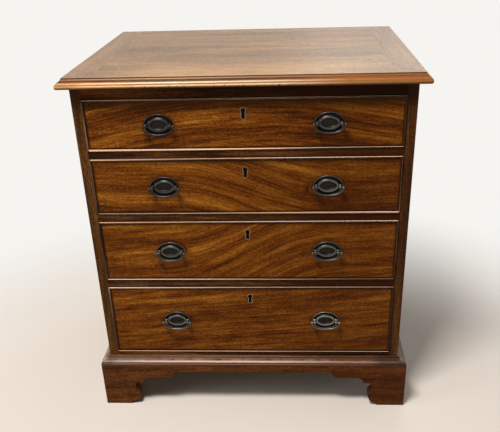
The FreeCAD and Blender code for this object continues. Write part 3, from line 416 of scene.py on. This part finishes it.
def parted_boards(along, across, width):
    """Shifts the grain from board to board. The last value is 1 in the joints between them."""
    place = across * (1 / width) + 8.0
    inside = place.fraction()
    number = place - inside
    joint = 1 - inside.least(1 - inside).ease(0.002, 0.007)
    return along + number * 3.7, across + number * 0.37, joint


def plain_timber(name, run, tones, seed, scale=1.0, knots=0.0, board=0.0):
    """Unpolished oak or pine: straight rings, a dry surface, darker in the corners. Boards part at their joints.
    """
    finish = Finish(name, Specular_IOR_Level=0.35)
    along, across, through = grain_axes(finish, run)
    if board:
        along, across, joint = parted_boards(along, across, board)
    sway = finish.noise(finish.vector(along * 3.0 + seed, across * 6.0, through * 6.0), 2.0)
    line = across + (sway - 0.5) * 0.04
    tightness = 130.0 * scale
    rings = finish.noise(finish.vector(along * 2.0, line * tightness + seed, through * tightness), 3.0, 0.6)
    fine = finish.noise(finish.vector(along * 30.0, line * 900.0, through * 900.0 + seed), 2.0, 0.6)
    stain = finish.noise(finish.vector(along * 9.0 + seed, across * 11.0, through * 11.0), 4.0, 0.6)
    tone = (rings - 0.5) * 1.3 + (fine - 0.5) * 0.6 + 0.5
    colour = finish.ramp(tone, list(zip((0.1, 0.5, 0.9), tones)))
    colour = finish.blend(stain.ease(0.52, 0.75) * 0.5, colour, tones[0])
    if knots:
        place = finish.vector(along * 2.2, across * 9.0, through + seed)
        spots = finish.node("ShaderNodeTexVoronoi", {}, place, 1.0)
        colour = finish.blend((1 - spots.ease(0.04, 0.11)) * knots, colour, KNOT)
    colour = finish.blend(finish.near_edges(TIMBER_CORNER_REACH) * 0.6, colour, CORNER_DARK)
    if board:
        colour = finish.blend(joint * 0.85, colour, BOARD_GAP)
    finish.feed("Base Color", colour)
    finish.feed("Roughness", fine * 0.25 + 0.55)
    finish.bump(fine, 0.35, 0.0005)
    return finish.material


# ---- metals
BRASS_GRIME = srgb(4, 4, 5)
BRASS_GRIME_REACH = 0.007

# How far in mm a plate's oval, worn and with a painted highlight, stands from the front: where its wear and
# painted highlight come in, and where they end.
RUBBED_AND_LIT_OVAL = ((3.3, 4.25), (5.0, 6.0))


def old_brass(name, dark, worn_and_lit, rough, reach, low=None):
    """Lacquered brass gone nearly black, worn and with a painted highlight on its rims and crests, black where it
    lies low.
    """
    finish = Finish(name, Metallic=0.9)
    spot = finish.place()
    patchy = finish.noise(spot, 3.0, 0.6).ease(0.38, 0.62)
    cloud = finish.noise(spot, 2.0, 0.6)
    crest = finish.node("ShaderNodeNewGeometry", {}, output="Pointiness")
    # Wear and a painted highlight on the crests.
    wear_and_light = crest.ease(0.5, 0.5 + reach) * (patchy * 0.95 + 0.15)
    grime_and_shade = (finish.near_edges(BRASS_GRIME_REACH) * 1.4).least(1.0)
    if low:
        stand = (FRONT_FACE - finish.axes(spot)[1]) * 1000
        comes, ends = RUBBED_AND_LIT_OVAL
        wear_and_light = wear_and_light.most(stand.ease(*comes) * (1 - stand.ease(*ends)) * (patchy * 0.85 + 0.1))
        grime_and_shade = grime_and_shade.most((1 - stand.ease(*low)) * 0.9)
    finish.feed("Base Color", finish.blend(grime_and_shade, finish.blend(wear_and_light, dark, worn_and_lit), BRASS_GRIME))
    finish.feed("Roughness", cloud * 0.16 + rough)
    finish.bump(cloud, 0.12, 0.0003)
    return finish.material


# ---- tones, from a wood's darkest streaks to its lightest
STILE_TONES = (srgb(36, 17, 6), srgb(64, 37, 15), srgb(90, 57, 26), srgb(112, 75, 38), srgb(136, 96, 54))
BLADE_TONES = (srgb(26, 10, 4), srgb(48, 23, 9), srgb(72, 40, 17), srgb(94, 57, 27), srgb(118, 78, 40))
# The top rails' tones are darker than the blades' as painted shade under the top.
SHADED_HEAD_TONES = (srgb(20, 7, 3), srgb(44, 19, 7), srgb(72, 36, 14), srgb(98, 54, 23), srgb(124, 74, 36))
FRONT_TONES = (srgb(44, 16, 3), srgb(80, 37, 7), srgb(112, 60, 13), srgb(140, 83, 22), srgb(172, 114, 42))
FOOT_TONES = (srgb(36, 13, 5), srgb(64, 30, 11), srgb(92, 49, 20), srgb(118, 68, 31), srgb(146, 94, 50))
TOP_TONES = (srgb(52, 32, 15), srgb(86, 58, 30), srgb(116, 82, 46), srgb(142, 106, 62), srgb(172, 134, 84))
MOULD_TONES = (srgb(40, 18, 8), srgb(78, 40, 16), srgb(108, 58, 26), srgb(130, 74, 36), srgb(152, 96, 52))
BEAD_TONES = (srgb(26, 10, 5), srgb(42, 20, 11), srgb(58, 31, 19), srgb(74, 44, 29), srgb(94, 60, 42))
OAK_TONES = (srgb(104, 74, 42), srgb(146, 108, 66), srgb(176, 138, 92))
BACK_TONES = (srgb(112, 78, 46), srgb(158, 118, 74), srgb(188, 150, 102))
BLOCK_TONES = (srgb(104, 72, 42), srgb(148, 110, 68), srgb(178, 140, 94))
INNER_TONES = (srgb(120, 86, 52), srgb(168, 130, 86), srgb(198, 162, 116))

# Drops are in mm under the moulding's top. The bands are painted highlights and shade along the moulding's
# profile, with some wear and chips; the left colour is a painted highlight on the left part, and under is where
# the painted shade on the underside lies.
TOP_EDGE = {"top": TOP_SURFACE, "waver": 1.2, "chips": (14.5, 22.0), "chip_run": 110.0, "under": (17.4, 20.4),
            "ends": 0.3, "right_end_dark": 0.0, "plain": srgb(132, 70, 18), "share": 0.9, "left": srgb(196, 126, 48),
            "bands": ((0.0, srgb(60, 32, 18)), (0.8, srgb(26, 12, 7)), (1.6, srgb(84, 52, 34)),
                      (3.2, srgb(134, 96, 72)), (4.6, srgb(92, 56, 34)), (6.0, srgb(46, 24, 11)),
                      (7.8, srgb(96, 60, 34)), (9.4, srgb(190, 168, 148)), (10.4, srgb(186, 150, 116)),
                      (11.6, srgb(104, 64, 33)), (13.0, srgb(146, 104, 62)), (14.2, srgb(230, 198, 154)),
                      (15.6, srgb(222, 186, 146)), (17.0, srgb(146, 104, 66)), (21.4, srgb(84, 46, 20)))}
SKIRT = {"top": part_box("base_mouldings")[1].z, "waver": 1.6, "chips": (4.6, 7.8), "chip_run": 30.0,
         "under": (17.2, 18.0), "ends": 0.65, "right_end_dark": 0.9, "plain": srgb(78, 44, 22), "share": 0.6,
         "left": srgb(120, 104, 100),
         "bands": ((0.0, srgb(56, 32, 20)), (1.6, srgb(84, 56, 44)), (3.0, srgb(226, 196, 182)),
                   (4.4, srgb(206, 174, 158)), (5.3, srgb(30, 14, 7)), (7.0, srgb(46, 25, 13)),
                   (8.0, srgb(96, 68, 54)), (9.2, srgb(190, 162, 150)), (10.6, srgb(160, 132, 122)),
                   (12.0, srgb(88, 62, 52)), (13.5, srgb(54, 34, 25)), (14.3, srgb(122, 94, 84)),
                   (15.4, srgb(98, 68, 54)), (16.8, srgb(72, 42, 26)), (18.0, srgb(66, 36, 19)))}

BACK_LOW, BACK_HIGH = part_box("back_boards")
BACK_BOARD = (BACK_HIGH.x - BACK_LOW.x) / 4
HANDLE_SPREAD = 175


def drawer_front(number, order, shade, handle_height, marks=(), **grain):
    """A drawer's front, with a stain round each handle and any other marks, all in mm, and painted shade round its
    beads that reaches shade metres under its top bead.
    """
    stains = [(side, handle_height, 56, 36, 0.35) for side in (-HANDLE_SPREAD, HANDLE_SPREAD)]
    return mahogany(order + "_front_mahogany", "x", FRONT_TONES, corner_shade=0.9, board="drawer_%d_cockbeads" % number,
                    shade=shade, stains=stains + list(marks), **grain)


FINISHES = {
    "top_board": mahogany(
        "top_board_mahogany", "x", TOP_TONES, rise=0.02, seed=3.1, streak=0.8, figure=0.3, shine=0.24,
        gloss=0.29, tint=(255, 227, 184), bands=TOP_EDGE, front_sheen=0.55),
    "top_end_clamps": mahogany(
        "end_clamp_mahogany", "y", TOP_TONES, seed=8.4, streak=0.7, figure=0.2, shine=0.24, gloss=0.335,
        tint=(252, 236, 218), bands=TOP_EDGE),
    "side_left": mahogany(
        "left_side_mahogany", "z", STILE_TONES, rise=0.03, seed=1.7, figure=0.2, top_shadow=0.55),
    # The right side takes the blades' darker tones, and a deeper painted shadow under the top than the left side.
    "side_right": mahogany(
        "right_side_mahogany", "z", BLADE_TONES, rise=-0.04, seed=6.2, figure=0.2, top_shadow=0.75),
    "top_rails": mahogany(
        "rail_mahogany", "x", SHADED_HEAD_TONES, rise=0.03, seed=4.4, streak=1.5, gloss=0.08, deeper=0.95,
        deep=(26, 8, 4), gap_shade=0.85),
    "drawer_blades": mahogany(
        "blade_mahogany", "x", BLADE_TONES, rise=-0.02, seed=9.3, streak=1.7, figure=0.9, corner_shade=0.6,
        deeper=0.85, deep=(38, 10, 2), gap_shade=0.85),
    "base_mouldings": mahogany(
        "moulding_mahogany", "x", MOULD_TONES, seed=2.9, corner_shade=0.7, mitred=True, gloss=0.35, bands=SKIRT),
    "plinth_strips": mahogany(
        "plinth_mahogany", "x", FOOT_TONES, seed=7.7, streak=0.6, figure=0.6, mitred=True, deeper=0.25),
    "bracket_feet_front": mahogany(
        "foot_mahogany", "x", FOOT_TONES, seed=5.1, streak=0.6, figure=0.6, mitred=True, deeper=0.35),
    "bracket_feet_back": mahogany("back_foot_mahogany", "x", FOOT_TONES, seed=5.8, mitred="back"),
    "drawer_1_front": drawer_front(
        1, "first", 0.034, 708, rise=0.02, arch=-0.30, seed=11.3, streak=1.42, deeper=0.32),
    "drawer_2_front": drawer_front(
        2, "second", 0.018, 570, [(130.6, 568, 4.2, 13, 0.9), (129, 573, 7, 16, 0.4)],
        rise=-0.02, sweep=(-0.075, -0.14, 0.16), seed=23.9, streak=1.12, deeper=0.35),
    "drawer_3_front": drawer_front(
        3, "third", 0.009, 415, [(123, 419, 12, 14, 0.35), (-HANDLE_SPREAD, 421.6, 36.5, 27, 0.95, True)],
        rise=0.06, sweep=(0.10, -0.16, 0.18), seed=37.2, streak=1.1, deeper=0.28),
    "drawer_4_front": drawer_front(4, "fourth", 0.008, 232, rise=0.09, seed=49.6, figure=0.7, deeper=0.32),
    "oak": plain_timber("lining_oak", "y", OAK_TONES, 2.2),
    "oak_across": plain_timber("lining_oak_across", "x", OAK_TONES, 5.2),
    "pine": plain_timber("back_pine", "z", BACK_TONES, 7.5, scale=0.45, knots=0.8, board=BACK_BOARD),
    "block_pine": plain_timber("block_pine", "z", BLOCK_TONES, 1.9, scale=0.45),
    "pine_across": plain_timber("inner_pine", "x", INNER_TONES, 3.5, scale=0.45, knots=0.6),
    "handle": old_brass("handle_brass", srgb(36, 33, 31), srgb(146, 141, 132), 0.28, 0.09, low=(1.15, 1.75)),
    "lock": old_brass("lock_brass", srgb(84, 76, 62), srgb(158, 146, 124), 0.32, 0.05),
    "thread": old_brass("thread_brass", srgb(120, 108, 90), srgb(200, 186, 160), 0.35, 0.06),
}

# For each drawer, how far a bead's face turns forward where its painted highlight starts and is full, and how
# strong that painted highlight is on its lower parts and on its top run.
BEAD_HIGHLIGHTS = {1: ((0.1, 0.45), (0.8, 2.4)), 2: ((-0.1, 0.2), (0.7, 1.4)), 3: ((-0.1, 0.2), (0.7, 1.4)),
             4: ((0.25, 0.6), (0.85, 1.55))}
for number, (crown, wear_and_light) in BEAD_HIGHLIGHTS.items():
    top_run = (BEAD_TOPS[number] - 0.02, BEAD_TOPS[number] - 0.01)
    FINISHES["bead_%d" % number] = mahogany(
        "bead_mahogany_%d" % number, "x", BEAD_TONES, seed=1.3, corner_shade=0.3, shine=0.3, gloss=0.1,
        bead_highlight={"strength": 0.95, "crown": crown, "top_run": top_run, "wear_and_light": wear_and_light})

NODE_FINISH = {"carcase_bottom": "oak_across", "back_boards": "pine", "drawer_runners": "oak",
               "dustboards": "pine_across", "drawer_stops": "oak_across", "foot_glue_blocks": "block_pine"}
DRAWER_FINISH = {"sides": "oak", "back": "oak_across", "bottom": "pine_across", "lock": "lock",
                 "lock_bolt": "lock", "handle_plates": "handle", "handle_posts": "handle",
                 "bail_left": "handle", "bail_right": "handle"}
for number in DRAWERS:
    NODE_FINISH["drawer_%d_cockbeads" % number] = "bead_%d" % number
    for part, look in DRAWER_FINISH.items():
        NODE_FINISH["drawer_%d_%s" % (number, part)] = look


def finish_of(node):
    return FINISHES[NODE_FINISH.get(node, node)]


def dress(piece, material):
    piece.data.materials.clear()
    piece.data.materials.append(material)


for node, piece in frame["nodes"].items():
    dress(piece, finish_of(node))


# ---- shaping pieces by hand
# In metres: points nearer to each other than the first are one, and the second tells two heights apart.
WELD_DISTANCE = 2e-6
HAIR = 0.0001


def start():
    bpy.ops.object.select_all(action="DESELECT")


def finished(name, smooth):
    """Ends a piece: named, its place in its mesh, welded, facing outwards and shaded."""
    piece = bpy.context.object
    piece.name = name
    piece.data.name = name
    bpy.ops.object.transform_apply(location=True, rotation=True, scale=True)
    bpy.ops.object.mode_set(mode="EDIT")
    bpy.ops.mesh.select_all(action="SELECT")
    bpy.ops.mesh.remove_doubles(threshold=WELD_DISTANCE)
    bpy.ops.mesh.normals_make_consistent(inside=False)
    bpy.ops.object.mode_set(mode="OBJECT")
    bpy.ops.object.shade_smooth_by_angle(angle=math.radians(smooth))
    return piece


def apply_all(piece):
    bpy.context.view_layer.objects.active = piece
    for modifier in list(piece.modifiers):
        bpy.ops.object.modifier_apply(modifier=modifier.name)


def pick_faces(piece, wanted):
    """Selects, in edit mode, the faces whose middle passes a test."""
    bpy.ops.object.mode_set(mode="OBJECT")
    for part in (piece.data.vertices, piece.data.edges):
        for item in part:
            item.select = False
    for face in piece.data.polygons:
        face.select = wanted(face.center)
    bpy.ops.object.mode_set(mode="EDIT")
    bpy.ops.mesh.select_mode(type="FACE")


def pick_points(piece, wanted):
    """Selects, in edit mode, the points whose place passes a test, and the edges between them."""
    bpy.ops.object.mode_set(mode="OBJECT")
    for point in piece.data.vertices:
        point.select = wanted(point.co)
    for edge in piece.data.edges:
        edge.select = all(piece.data.vertices[index].select for index in edge.vertices)
    bpy.ops.object.mode_set(mode="EDIT")
    bpy.ops.mesh.select_mode(type="VERT")


def selected_points(piece):
    bpy.ops.object.mode_set(mode="OBJECT")
    points = [point for point in piece.data.vertices if point.select]
    bpy.ops.object.mode_set(mode="EDIT")
    return points


def turned(name, middle, direction, profile, sides, smooth):
    """Piece turned on a lathe: rings of (radius, distance along the direction from the middle), in mm."""
    start()
    (radius, along), *rings = [(ring * MM, reach * MM) for ring, reach in profile]
    aim = Vector(direction).normalized()
    turn = aim.to_track_quat("Z", "Y").to_euler()
    here = Vector(middle) + aim * along
    bpy.ops.mesh.primitive_circle_add(vertices=sides, radius=radius, fill_type="NGON", location=here,
                                      rotation=turn)
    bpy.ops.object.mode_set(mode="EDIT")
    bpy.ops.mesh.select_all(action="SELECT")
    for next_radius, next_along in rings:
        step = aim * (next_along - along)
        here = Vector(middle) + aim * next_along
        bpy.ops.mesh.extrude_region_move(TRANSFORM_OT_translate={"value": step})
        share = next_radius / radius
        bpy.ops.transform.resize(value=(share, share, share), center_override=here)
        radius, along = next_radius, next_along
    bpy.ops.object.mode_set(mode="OBJECT")
    return finished(name, smooth)


def joined(pieces, name):
    start()
    for piece in pieces:
        piece.select_set(True)
    bpy.context.view_layer.objects.active = pieces[0]
    bpy.ops.object.join()
    pieces[0].name = name
    return pieces[0]


def copy_of(piece, name, shift):
    made = bpy.data.objects.new(name, piece.data.copy())
    bpy.context.scene.collection.objects.link(made)
    made.data.transform(Matrix.Translation(shift))
    return made


def fit(piece, body, material, node):
    """Gives a piece its finish, sets it on its body and lets it stand for its CAD node."""
    dress(piece, material)
    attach(piece, body)
    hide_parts(node)


def merged_copy(node, name):
    """A node's shape as one closed mesh with whole flat faces, left active."""
    start()
    piece = bpy.data.objects.new(name, frame["nodes"][node].data.copy())
    bpy.context.scene.collection.objects.link(piece)
    piece.select_set(True)
    bpy.context.view_layer.objects.active = piece
    bpy.ops.mesh.customdata_custom_splitnormals_clear()
    bpy.ops.object.mode_set(mode="EDIT")
    bpy.ops.mesh.select_all(action="SELECT")
    bpy.ops.mesh.remove_doubles(threshold=WELD_DISTANCE)
    bpy.ops.mesh.dissolve_limited(angle_limit=math.radians(1.0))
    bpy.ops.object.mode_set(mode="OBJECT")
    return piece


def soften(piece, width, rounds):
    """Eases a piece's corners, as a plane and paper leave them."""
    bevel = piece.modifiers.new("ease", "BEVEL")
    bevel.width = width
    bevel.segments = rounds
    bevel.limit_method = "ANGLE"
    bevel.angle_limit = math.radians(28)
    bevel.miter_outer = "MITER_ARC"
    apply_all(piece)
    bpy.ops.object.shade_smooth_by_angle(angle=math.radians(50))
    weigh = piece.modifiers.new("weigh", "WEIGHTED_NORMAL")
    weigh.keep_sharp = True
    apply_all(piece)


def eased(node, body, width, rounds=2):
    piece = merged_copy(node, node + "_eased")
    soften(piece, width, rounds)
    fit(piece, body, finish_of(node), node)


# ---- handles
HINGES = {joint["name"]: joint["pos_m"] for joint in frame["joints"] if joint["type"] == "hinge"}
PLATE_HALF_WIDTH = 31 * MM
PLATE_HALF_HEIGHT = 23 * MM
BAIL_HALF_WIDTH = 31.4 * MM
BAIL_DROP = 17.9 * MM
BAIL_WIRE = 1.65 * MM
BAIL_MIDDLE_SHARE = 1.2
HINGE_STAND = 0.0125
POST_REACH = 0.025

# (inset, step forward) in mm, from the plate's rim to its middle.
PLATE_STEPS = ((0.0, 1.3), (0.3, 0.6), (0.5, 0.25), (0.6, 0.0), (0.5, -0.4), (0.4, -0.6), (0.5, -0.15),
               (3.6, 0.05), (0.8, 0.4), (0.8, 0.9), (0.7, 0.9), (0.7, 0.6), (0.7, 0.35), (0.7, 0.1),
               (0.7, -0.15), (0.8, -0.35), (0.9, -0.45), (0.9, -0.5), (0.9, -0.55), (0.3, -0.7), (0.5, 0.1),
               (3.0, 0.1))

# (radius, distance) in mm: from the drawer's front outwards, and from the bail's end inwards and outwards.
POST_PROFILE = ((4.7, 0.2), (4.7, 1.0), (4.2, 1.5), (4.1, 4.4), (3.4, 5.2), (2.6, 6.0), (2.5, 8.0), (2.9, 9.0),
                (3.6, 9.8), (4.1, 11.0), (4.2, 12.5), (4.0, 13.7), (3.4, 14.7), (2.4, 15.3), (1.0, 15.5))
BAIL_END_PROFILE = ((1.3, 10), (1.3, 3.0), (2.0, 2.3), (2.6, 1.4), (2.9, 0), (2.6, -1.4), (1.9, -2.3), (0.7, -2.9))


def handle_plate():
    """Stamped oval plate: beaded rim, channel, raised oval and dished middle."""
    start()
    bpy.ops.mesh.primitive_circle_add(vertices=96, radius=1.0, fill_type="NGON", rotation=(math.pi / 2, 0, 0))
    bpy.ops.object.mode_set(mode="EDIT")
    bpy.ops.mesh.select_all(action="SELECT")
    bpy.ops.transform.resize(value=(PLATE_HALF_WIDTH, PLATE_HALF_WIDTH, PLATE_HALF_HEIGHT),
                             center_override=(0, 0, 0))
    for inset, out in PLATE_STEPS:
        if inset:
            bpy.ops.mesh.inset(thickness=inset * MM, depth=out * MM)
        else:
            bpy.ops.mesh.extrude_region_move(TRANSFORM_OT_translate={"value": (0, -out * MM, 0)})
    bpy.ops.object.mode_set(mode="OBJECT")
    return finished("handle_plate", 60)


def bail():
    """Half-oval bow, a little heavier at its middle, with a ball and a pin at each end."""
    start()
    bpy.ops.curve.primitive_bezier_circle_add(radius=1.0, rotation=(math.pi / 2, 0, 0))
    curve = bpy.context.object
    bpy.ops.object.mode_set(mode="EDIT")
    bpy.ops.curve.select_all(action="SELECT")
    bpy.ops.transform.resize(value=(BAIL_HALF_WIDTH, BAIL_HALF_WIDTH, BAIL_DROP), center_override=(0, 0, 0))
    bpy.ops.object.mode_set(mode="OBJECT")
    curve.data.bevel_depth = BAIL_WIRE
    curve.data.bevel_resolution = 5
    curve.data.resolution_u = 20
    for point in curve.data.splines[0].bezier_points:
        if (curve.matrix_world @ point.co).z < -BAIL_DROP / 2:
            point.radius = BAIL_MIDDLE_SHARE
    bpy.ops.object.convert(target="MESH")
    bow = finished("bail_bow", 60)
    bpy.ops.object.mode_set(mode="EDIT")
    bpy.ops.mesh.select_all(action="SELECT")
    bpy.ops.mesh.bisect(plane_co=(0, 0, 0), plane_no=(0, 0, 1), clear_outer=True, use_fill=True)
    bpy.ops.object.mode_set(mode="OBJECT")
    ends = [turned("bail_end", (side * BAIL_HALF_WIDTH, 0, 0), (-side, 0, 0), BAIL_END_PROFILE, 24, 50)
            for side in (-1, 1)]
    whole = joined([bow] + ends, "bail")
    whole.data.transform(Matrix.Translation((0, -HINGE_STAND, 0)))
    return whole


def whole_post():
    """Turned post with the square shank that passes through the front, and the square nut behind it."""
    head = turned("post", (0, 0, 0), (0, -1, 0), POST_PROFILE, 32, 50)
    end = (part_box("drawer_1_handle_posts")[1].y - FRONT_FACE) / MM
    shank = turned("shank", (0, 0, 0), (0, 1, 0), ((3.1, -1.0), (3.1, end - 0.5), (2.6, end)), 4, 30)
    nut_profile = ((6.7, end - 4.5), (7.05, end - 4.2), (7.05, end - 2.0), (6.3, end - 1.5), (3.4, end - 1.5))
    nut = turned("nut", (0, 0, 0), (0, 1, 0), nut_profile, 4, 30)
    for square in (shank, nut):
        square.data.transform(Matrix.Rotation(math.radians(45), 4, "Y"))
    return joined([head, shank, nut], "post")


def make_handles():
    plate = handle_plate()
    post = whole_post()
    swing = bail()
    for number in DRAWERS:
        name = "drawer_%d" % number
        for side in SIDES:
            hinge = HINGES[name + "_bail_" + side + "_hinge"]
            face = Vector((hinge[0], FRONT_FACE, hinge[2]))
            oval = copy_of(plate, name + "_plate_" + side, face)
            fit(oval, name, FINISHES["handle"], name + "_handle_plates")
            for reach in (-POST_REACH, POST_REACH):
                place = "inner" if reach * face.x < 0 else "outer"
                knob = copy_of(post, "%s_post_%s_%s" % (name, side, place), face + Vector((reach, 0, 0)))
                fit(knob, name, FINISHES["handle"], name + "_handle_posts")
            bow = copy_of(swing, name + "_bow_" + side, face)
            fit(bow, name + "_bail_" + side, FINISHES["handle"], name + "_bail_" + side)
    for piece in (plate, post, swing):
        bpy.data.objects.remove(piece)


# ---- locks
KEYHOLE_DROP = 26 * MM
KEY_HEAD_RADIUS = 6.2 * MM
KEY_FOOT_DROP = 13.6 * MM
KEY_FOOT_SHARE = 0.92
THREAD_WIDTH = 1.15 * MM
THREAD_DEPTH = 2.0 * MM
THREAD_SUNK = 1.6 * MM
CAD_THREAD_DEPTH = 1.7 * MM
METAL_EASE = 0.3 * MM

# (height, half width) in mm, down the sides of the keyhole's waist.
THREAD_HALVES = ((-2.04, 5.9), (-4.09, 5.1), (-6.13, 4.6), (-8.17, 4.5), (-10.22, 4.7), (-12.26, 5.2))


def key_thread():
    """Thin keyhole-shaped brass thread: a round head drawn down to a waist and a round foot."""
    start()
    bpy.ops.mesh.primitive_circle_add(vertices=48, radius=KEY_HEAD_RADIUS, fill_type="NOTHING",
                                      rotation=(math.pi / 2, 0, 0))
    thread = bpy.context.object
    bpy.ops.object.transform_apply(location=False, rotation=True, scale=False)
    pick_points(thread, lambda point: point.z < -HAIR)
    bpy.ops.transform.translate(value=(0, 0, -KEY_FOOT_DROP))
    pick_points(thread, lambda point: point.z < -KEY_FOOT_DROP - HAIR)
    bpy.ops.transform.resize(value=(KEY_FOOT_SHARE, 1, KEY_FOOT_SHARE), center_override=(0, 0, -KEY_FOOT_DROP))
    pick_points(thread, lambda point: -KEY_FOOT_DROP - MM < point.z < HAIR and abs(point.x) > 5 * MM)
    bpy.ops.mesh.subdivide(number_cuts=len(THREAD_HALVES))
    for height, half in THREAD_HALVES:
        pick_points(thread, lambda point: abs(point.z - height * MM) < 0.5 * MM)
        widest = max(abs(point.co.x) for point in selected_points(thread))
        bpy.ops.transform.resize(value=(half * MM / widest, 1, 1), center_override=(0, 0, 0))
    bpy.ops.mesh.select_all(action="SELECT")
    bpy.ops.mesh.edge_face_add()
    bpy.ops.mesh.inset(thickness=THREAD_WIDTH)
    bpy.ops.mesh.delete(type="FACE")
    bpy.ops.mesh.select_all(action="SELECT")
    bpy.ops.mesh.extrude_region_move(TRANSFORM_OT_translate={"value": (0, -THREAD_DEPTH, 0)})
    bpy.ops.object.mode_set(mode="OBJECT")
    thread.data.transform(Matrix.Translation((0, THREAD_SUNK, 0)))
    ease = thread.modifiers.new("ease", "BEVEL")
    ease.width = METAL_EASE
    ease.segments = 2
    ease.angle_limit = math.radians(40)
    apply_all(thread)
    return finished("key_thread", 40)


def make_locks():
    """Gives each lock eased corners, and a thread modelled by hand in place of its CAD one."""
    thread = key_thread()
    for number in DRAWERS:
        name = "drawer_%d" % number
        lock = merged_copy(name + "_lock", name + "_lock_case")
        pick_faces(lock, lambda middle: middle.y < FRONT_FACE + CAD_THREAD_DEPTH)
        bpy.ops.mesh.delete(type="FACE")
        bpy.ops.object.mode_set(mode="OBJECT")
        soften(lock, METAL_EASE, 2)
        fit(lock, name, FINISHES["lock"], name + "_lock")
        ring = copy_of(thread, name + "_key_thread", (0, FRONT_FACE, BEAD_TOPS[number] - KEYHOLE_DROP))
        fit(ring, name, FINISHES["thread"], name + "_lock")
    bpy.data.objects.remove(thread)


make_handles()
make_locks()

# ---- CAD pieces with eased corners: slot and how wide the corner is, in mm
EASED = {"top_board": ("top_mahogany", 0.3), "top_end_clamps": ("top_mahogany", 0.3),
         "side_left": ("carcase_mahogany", 0.5), "side_right": ("carcase_mahogany", 0.5),
         "top_rails": ("carcase_mahogany", 0.4), "drawer_blades": ("carcase_mahogany", 0.4),
         "base_mouldings": ("moulding_mahogany", 0.3), "plinth_strips": ("foot_mahogany", 0.6),
         "bracket_feet_front": ("foot_mahogany", 0.7), "bracket_feet_back": ("foot_mahogany", 0.7)}
for node, (slot, width) in EASED.items():
    eased(node, "carcase", width * MM)
for number in DRAWERS:
    eased("drawer_%d_cockbeads" % number, "drawer_%d" % number, 0.5 * MM, 3)


# ---- room
FLOOR_COLOUR = srgb(213, 205, 196)
FLOOR_FOR_LIGHT = srgb(168, 160, 150)
WALL_COLOUR = srgb(246, 244, 240)
FLOOR_SIZE = 60

# In metres: round a point so far in front of the chest's middle, the floor runs into the wall's colour between
# these two distances.
FADE_FORWARD = 0.4
FADE = (0.62, 1.45)

ROOM_LIGHT = srgb(250, 248, 244)
ROOM_STRENGTH = 0.19
LAMP_COLOUR = (1.0, 0.97, 0.93)

# Place, the point it is aimed at, width, height and power.
LAMPS = {"window_lamp": ((-0.6, -1.3, 3.1), (0.0, -0.25, 0.45), 0.8, 0.5, 105),
         "back_lamp": ((0.9, 2.3, 2.3), (0.0, 0.3, 0.4), 1.8, 1.4, 22),
         "left_lamp": ((-2.4, -1.2, 1.3), (0.0, -0.2, 0.4), 1.0, 1.4, 19),
         "right_lamp": ((2.8, 0.6, 1.5), (0.2, 0.0, 0.4), 1.2, 1.2, 9)}

CAMERA_PLACE = (0.09814, -1.56144, 1.10404)
CAMERA_TURN = (1.106447, 0.027233, 0.042731)
CAMERA_LENS = 47.3346
CAMERA_SENSOR = 36.0
CAMERA_SHIFT = (-0.0180264, 0.0457556)
CAMERA_REACH = (0.05, 100.0)


def make_floor():
    """A pale floor that runs into the wall's colour. The light that falls on it comes back a little darker."""
    finish = Finish("pale_floor", Roughness=0.9, Specular_IOR_Level=0.2)
    seen = finish.from_the_eye()
    x, y, _ = finish.axes(finish.place())
    forward = y + FADE_FORWARD
    away = (x * x + forward * forward) ** 0.5
    finish.feed("Base Color", finish.blend(seen, FLOOR_FOR_LIGHT, FLOOR_COLOUR))
    lit = Wire(finish, finish.shader.outputs[0])
    wall = finish.node("ShaderNodeEmission", {}, WALL_COLOUR, 1.0)
    finish.shine_out(finish.node("ShaderNodeMixShader", {}, away.ease(*FADE) * seen, lit, wall),
                     "Material Output")
    start()
    bpy.ops.mesh.primitive_plane_add(size=FLOOR_SIZE, location=(0, 0, 0))
    ground = bpy.context.object
    ground.name = "floor"
    dress(ground, finish.material)


def make_world():
    """Soft light from all round, behind which the eye sees the wall's colour."""
    world = bpy.data.worlds.new("room")
    bpy.context.scene.world = world
    world.use_nodes = True
    nodes = Nodes(world.node_tree)
    soft = nodes.node("ShaderNodeBackground", {}, ROOM_LIGHT, ROOM_STRENGTH)
    shown = nodes.node("ShaderNodeBackground", {}, WALL_COLOUR, 1.0)
    nodes.shine_out(nodes.node("ShaderNodeMixShader", {}, nodes.from_the_eye(), soft, shown), "World Output")


def area_lamp(name, place, aim, width, height, power):
    data = bpy.data.lights.new(name, "AREA")
    data.shape = "RECTANGLE"
    data.size = width
    data.size_y = height
    data.energy = power
    data.color = LAMP_COLOUR
    lamp = bpy.data.objects.new(name, data)
    bpy.context.scene.collection.objects.link(lamp)
    lamp.location = place
    lamp.rotation_euler = (Vector(aim) - Vector(place)).to_track_quat("-Z", "Y").to_euler()


def make_camera():
    data = bpy.data.cameras.new("camera")
    data.sensor_width = CAMERA_SENSOR
    data.lens = CAMERA_LENS
    data.shift_x, data.shift_y = CAMERA_SHIFT
    data.clip_start, data.clip_end = CAMERA_REACH
    camera = bpy.data.objects.new("camera", data)
    bpy.context.scene.collection.objects.link(camera)
    camera.location = CAMERA_PLACE
    camera.rotation_euler = CAMERA_TURN
    bpy.context.scene.camera = camera


make_floor()
make_world()
for name, lamp in LAMPS.items():
    area_lamp(name, *lamp)
make_camera()
bpy.context.scene.view_settings.view_transform = "Standard"
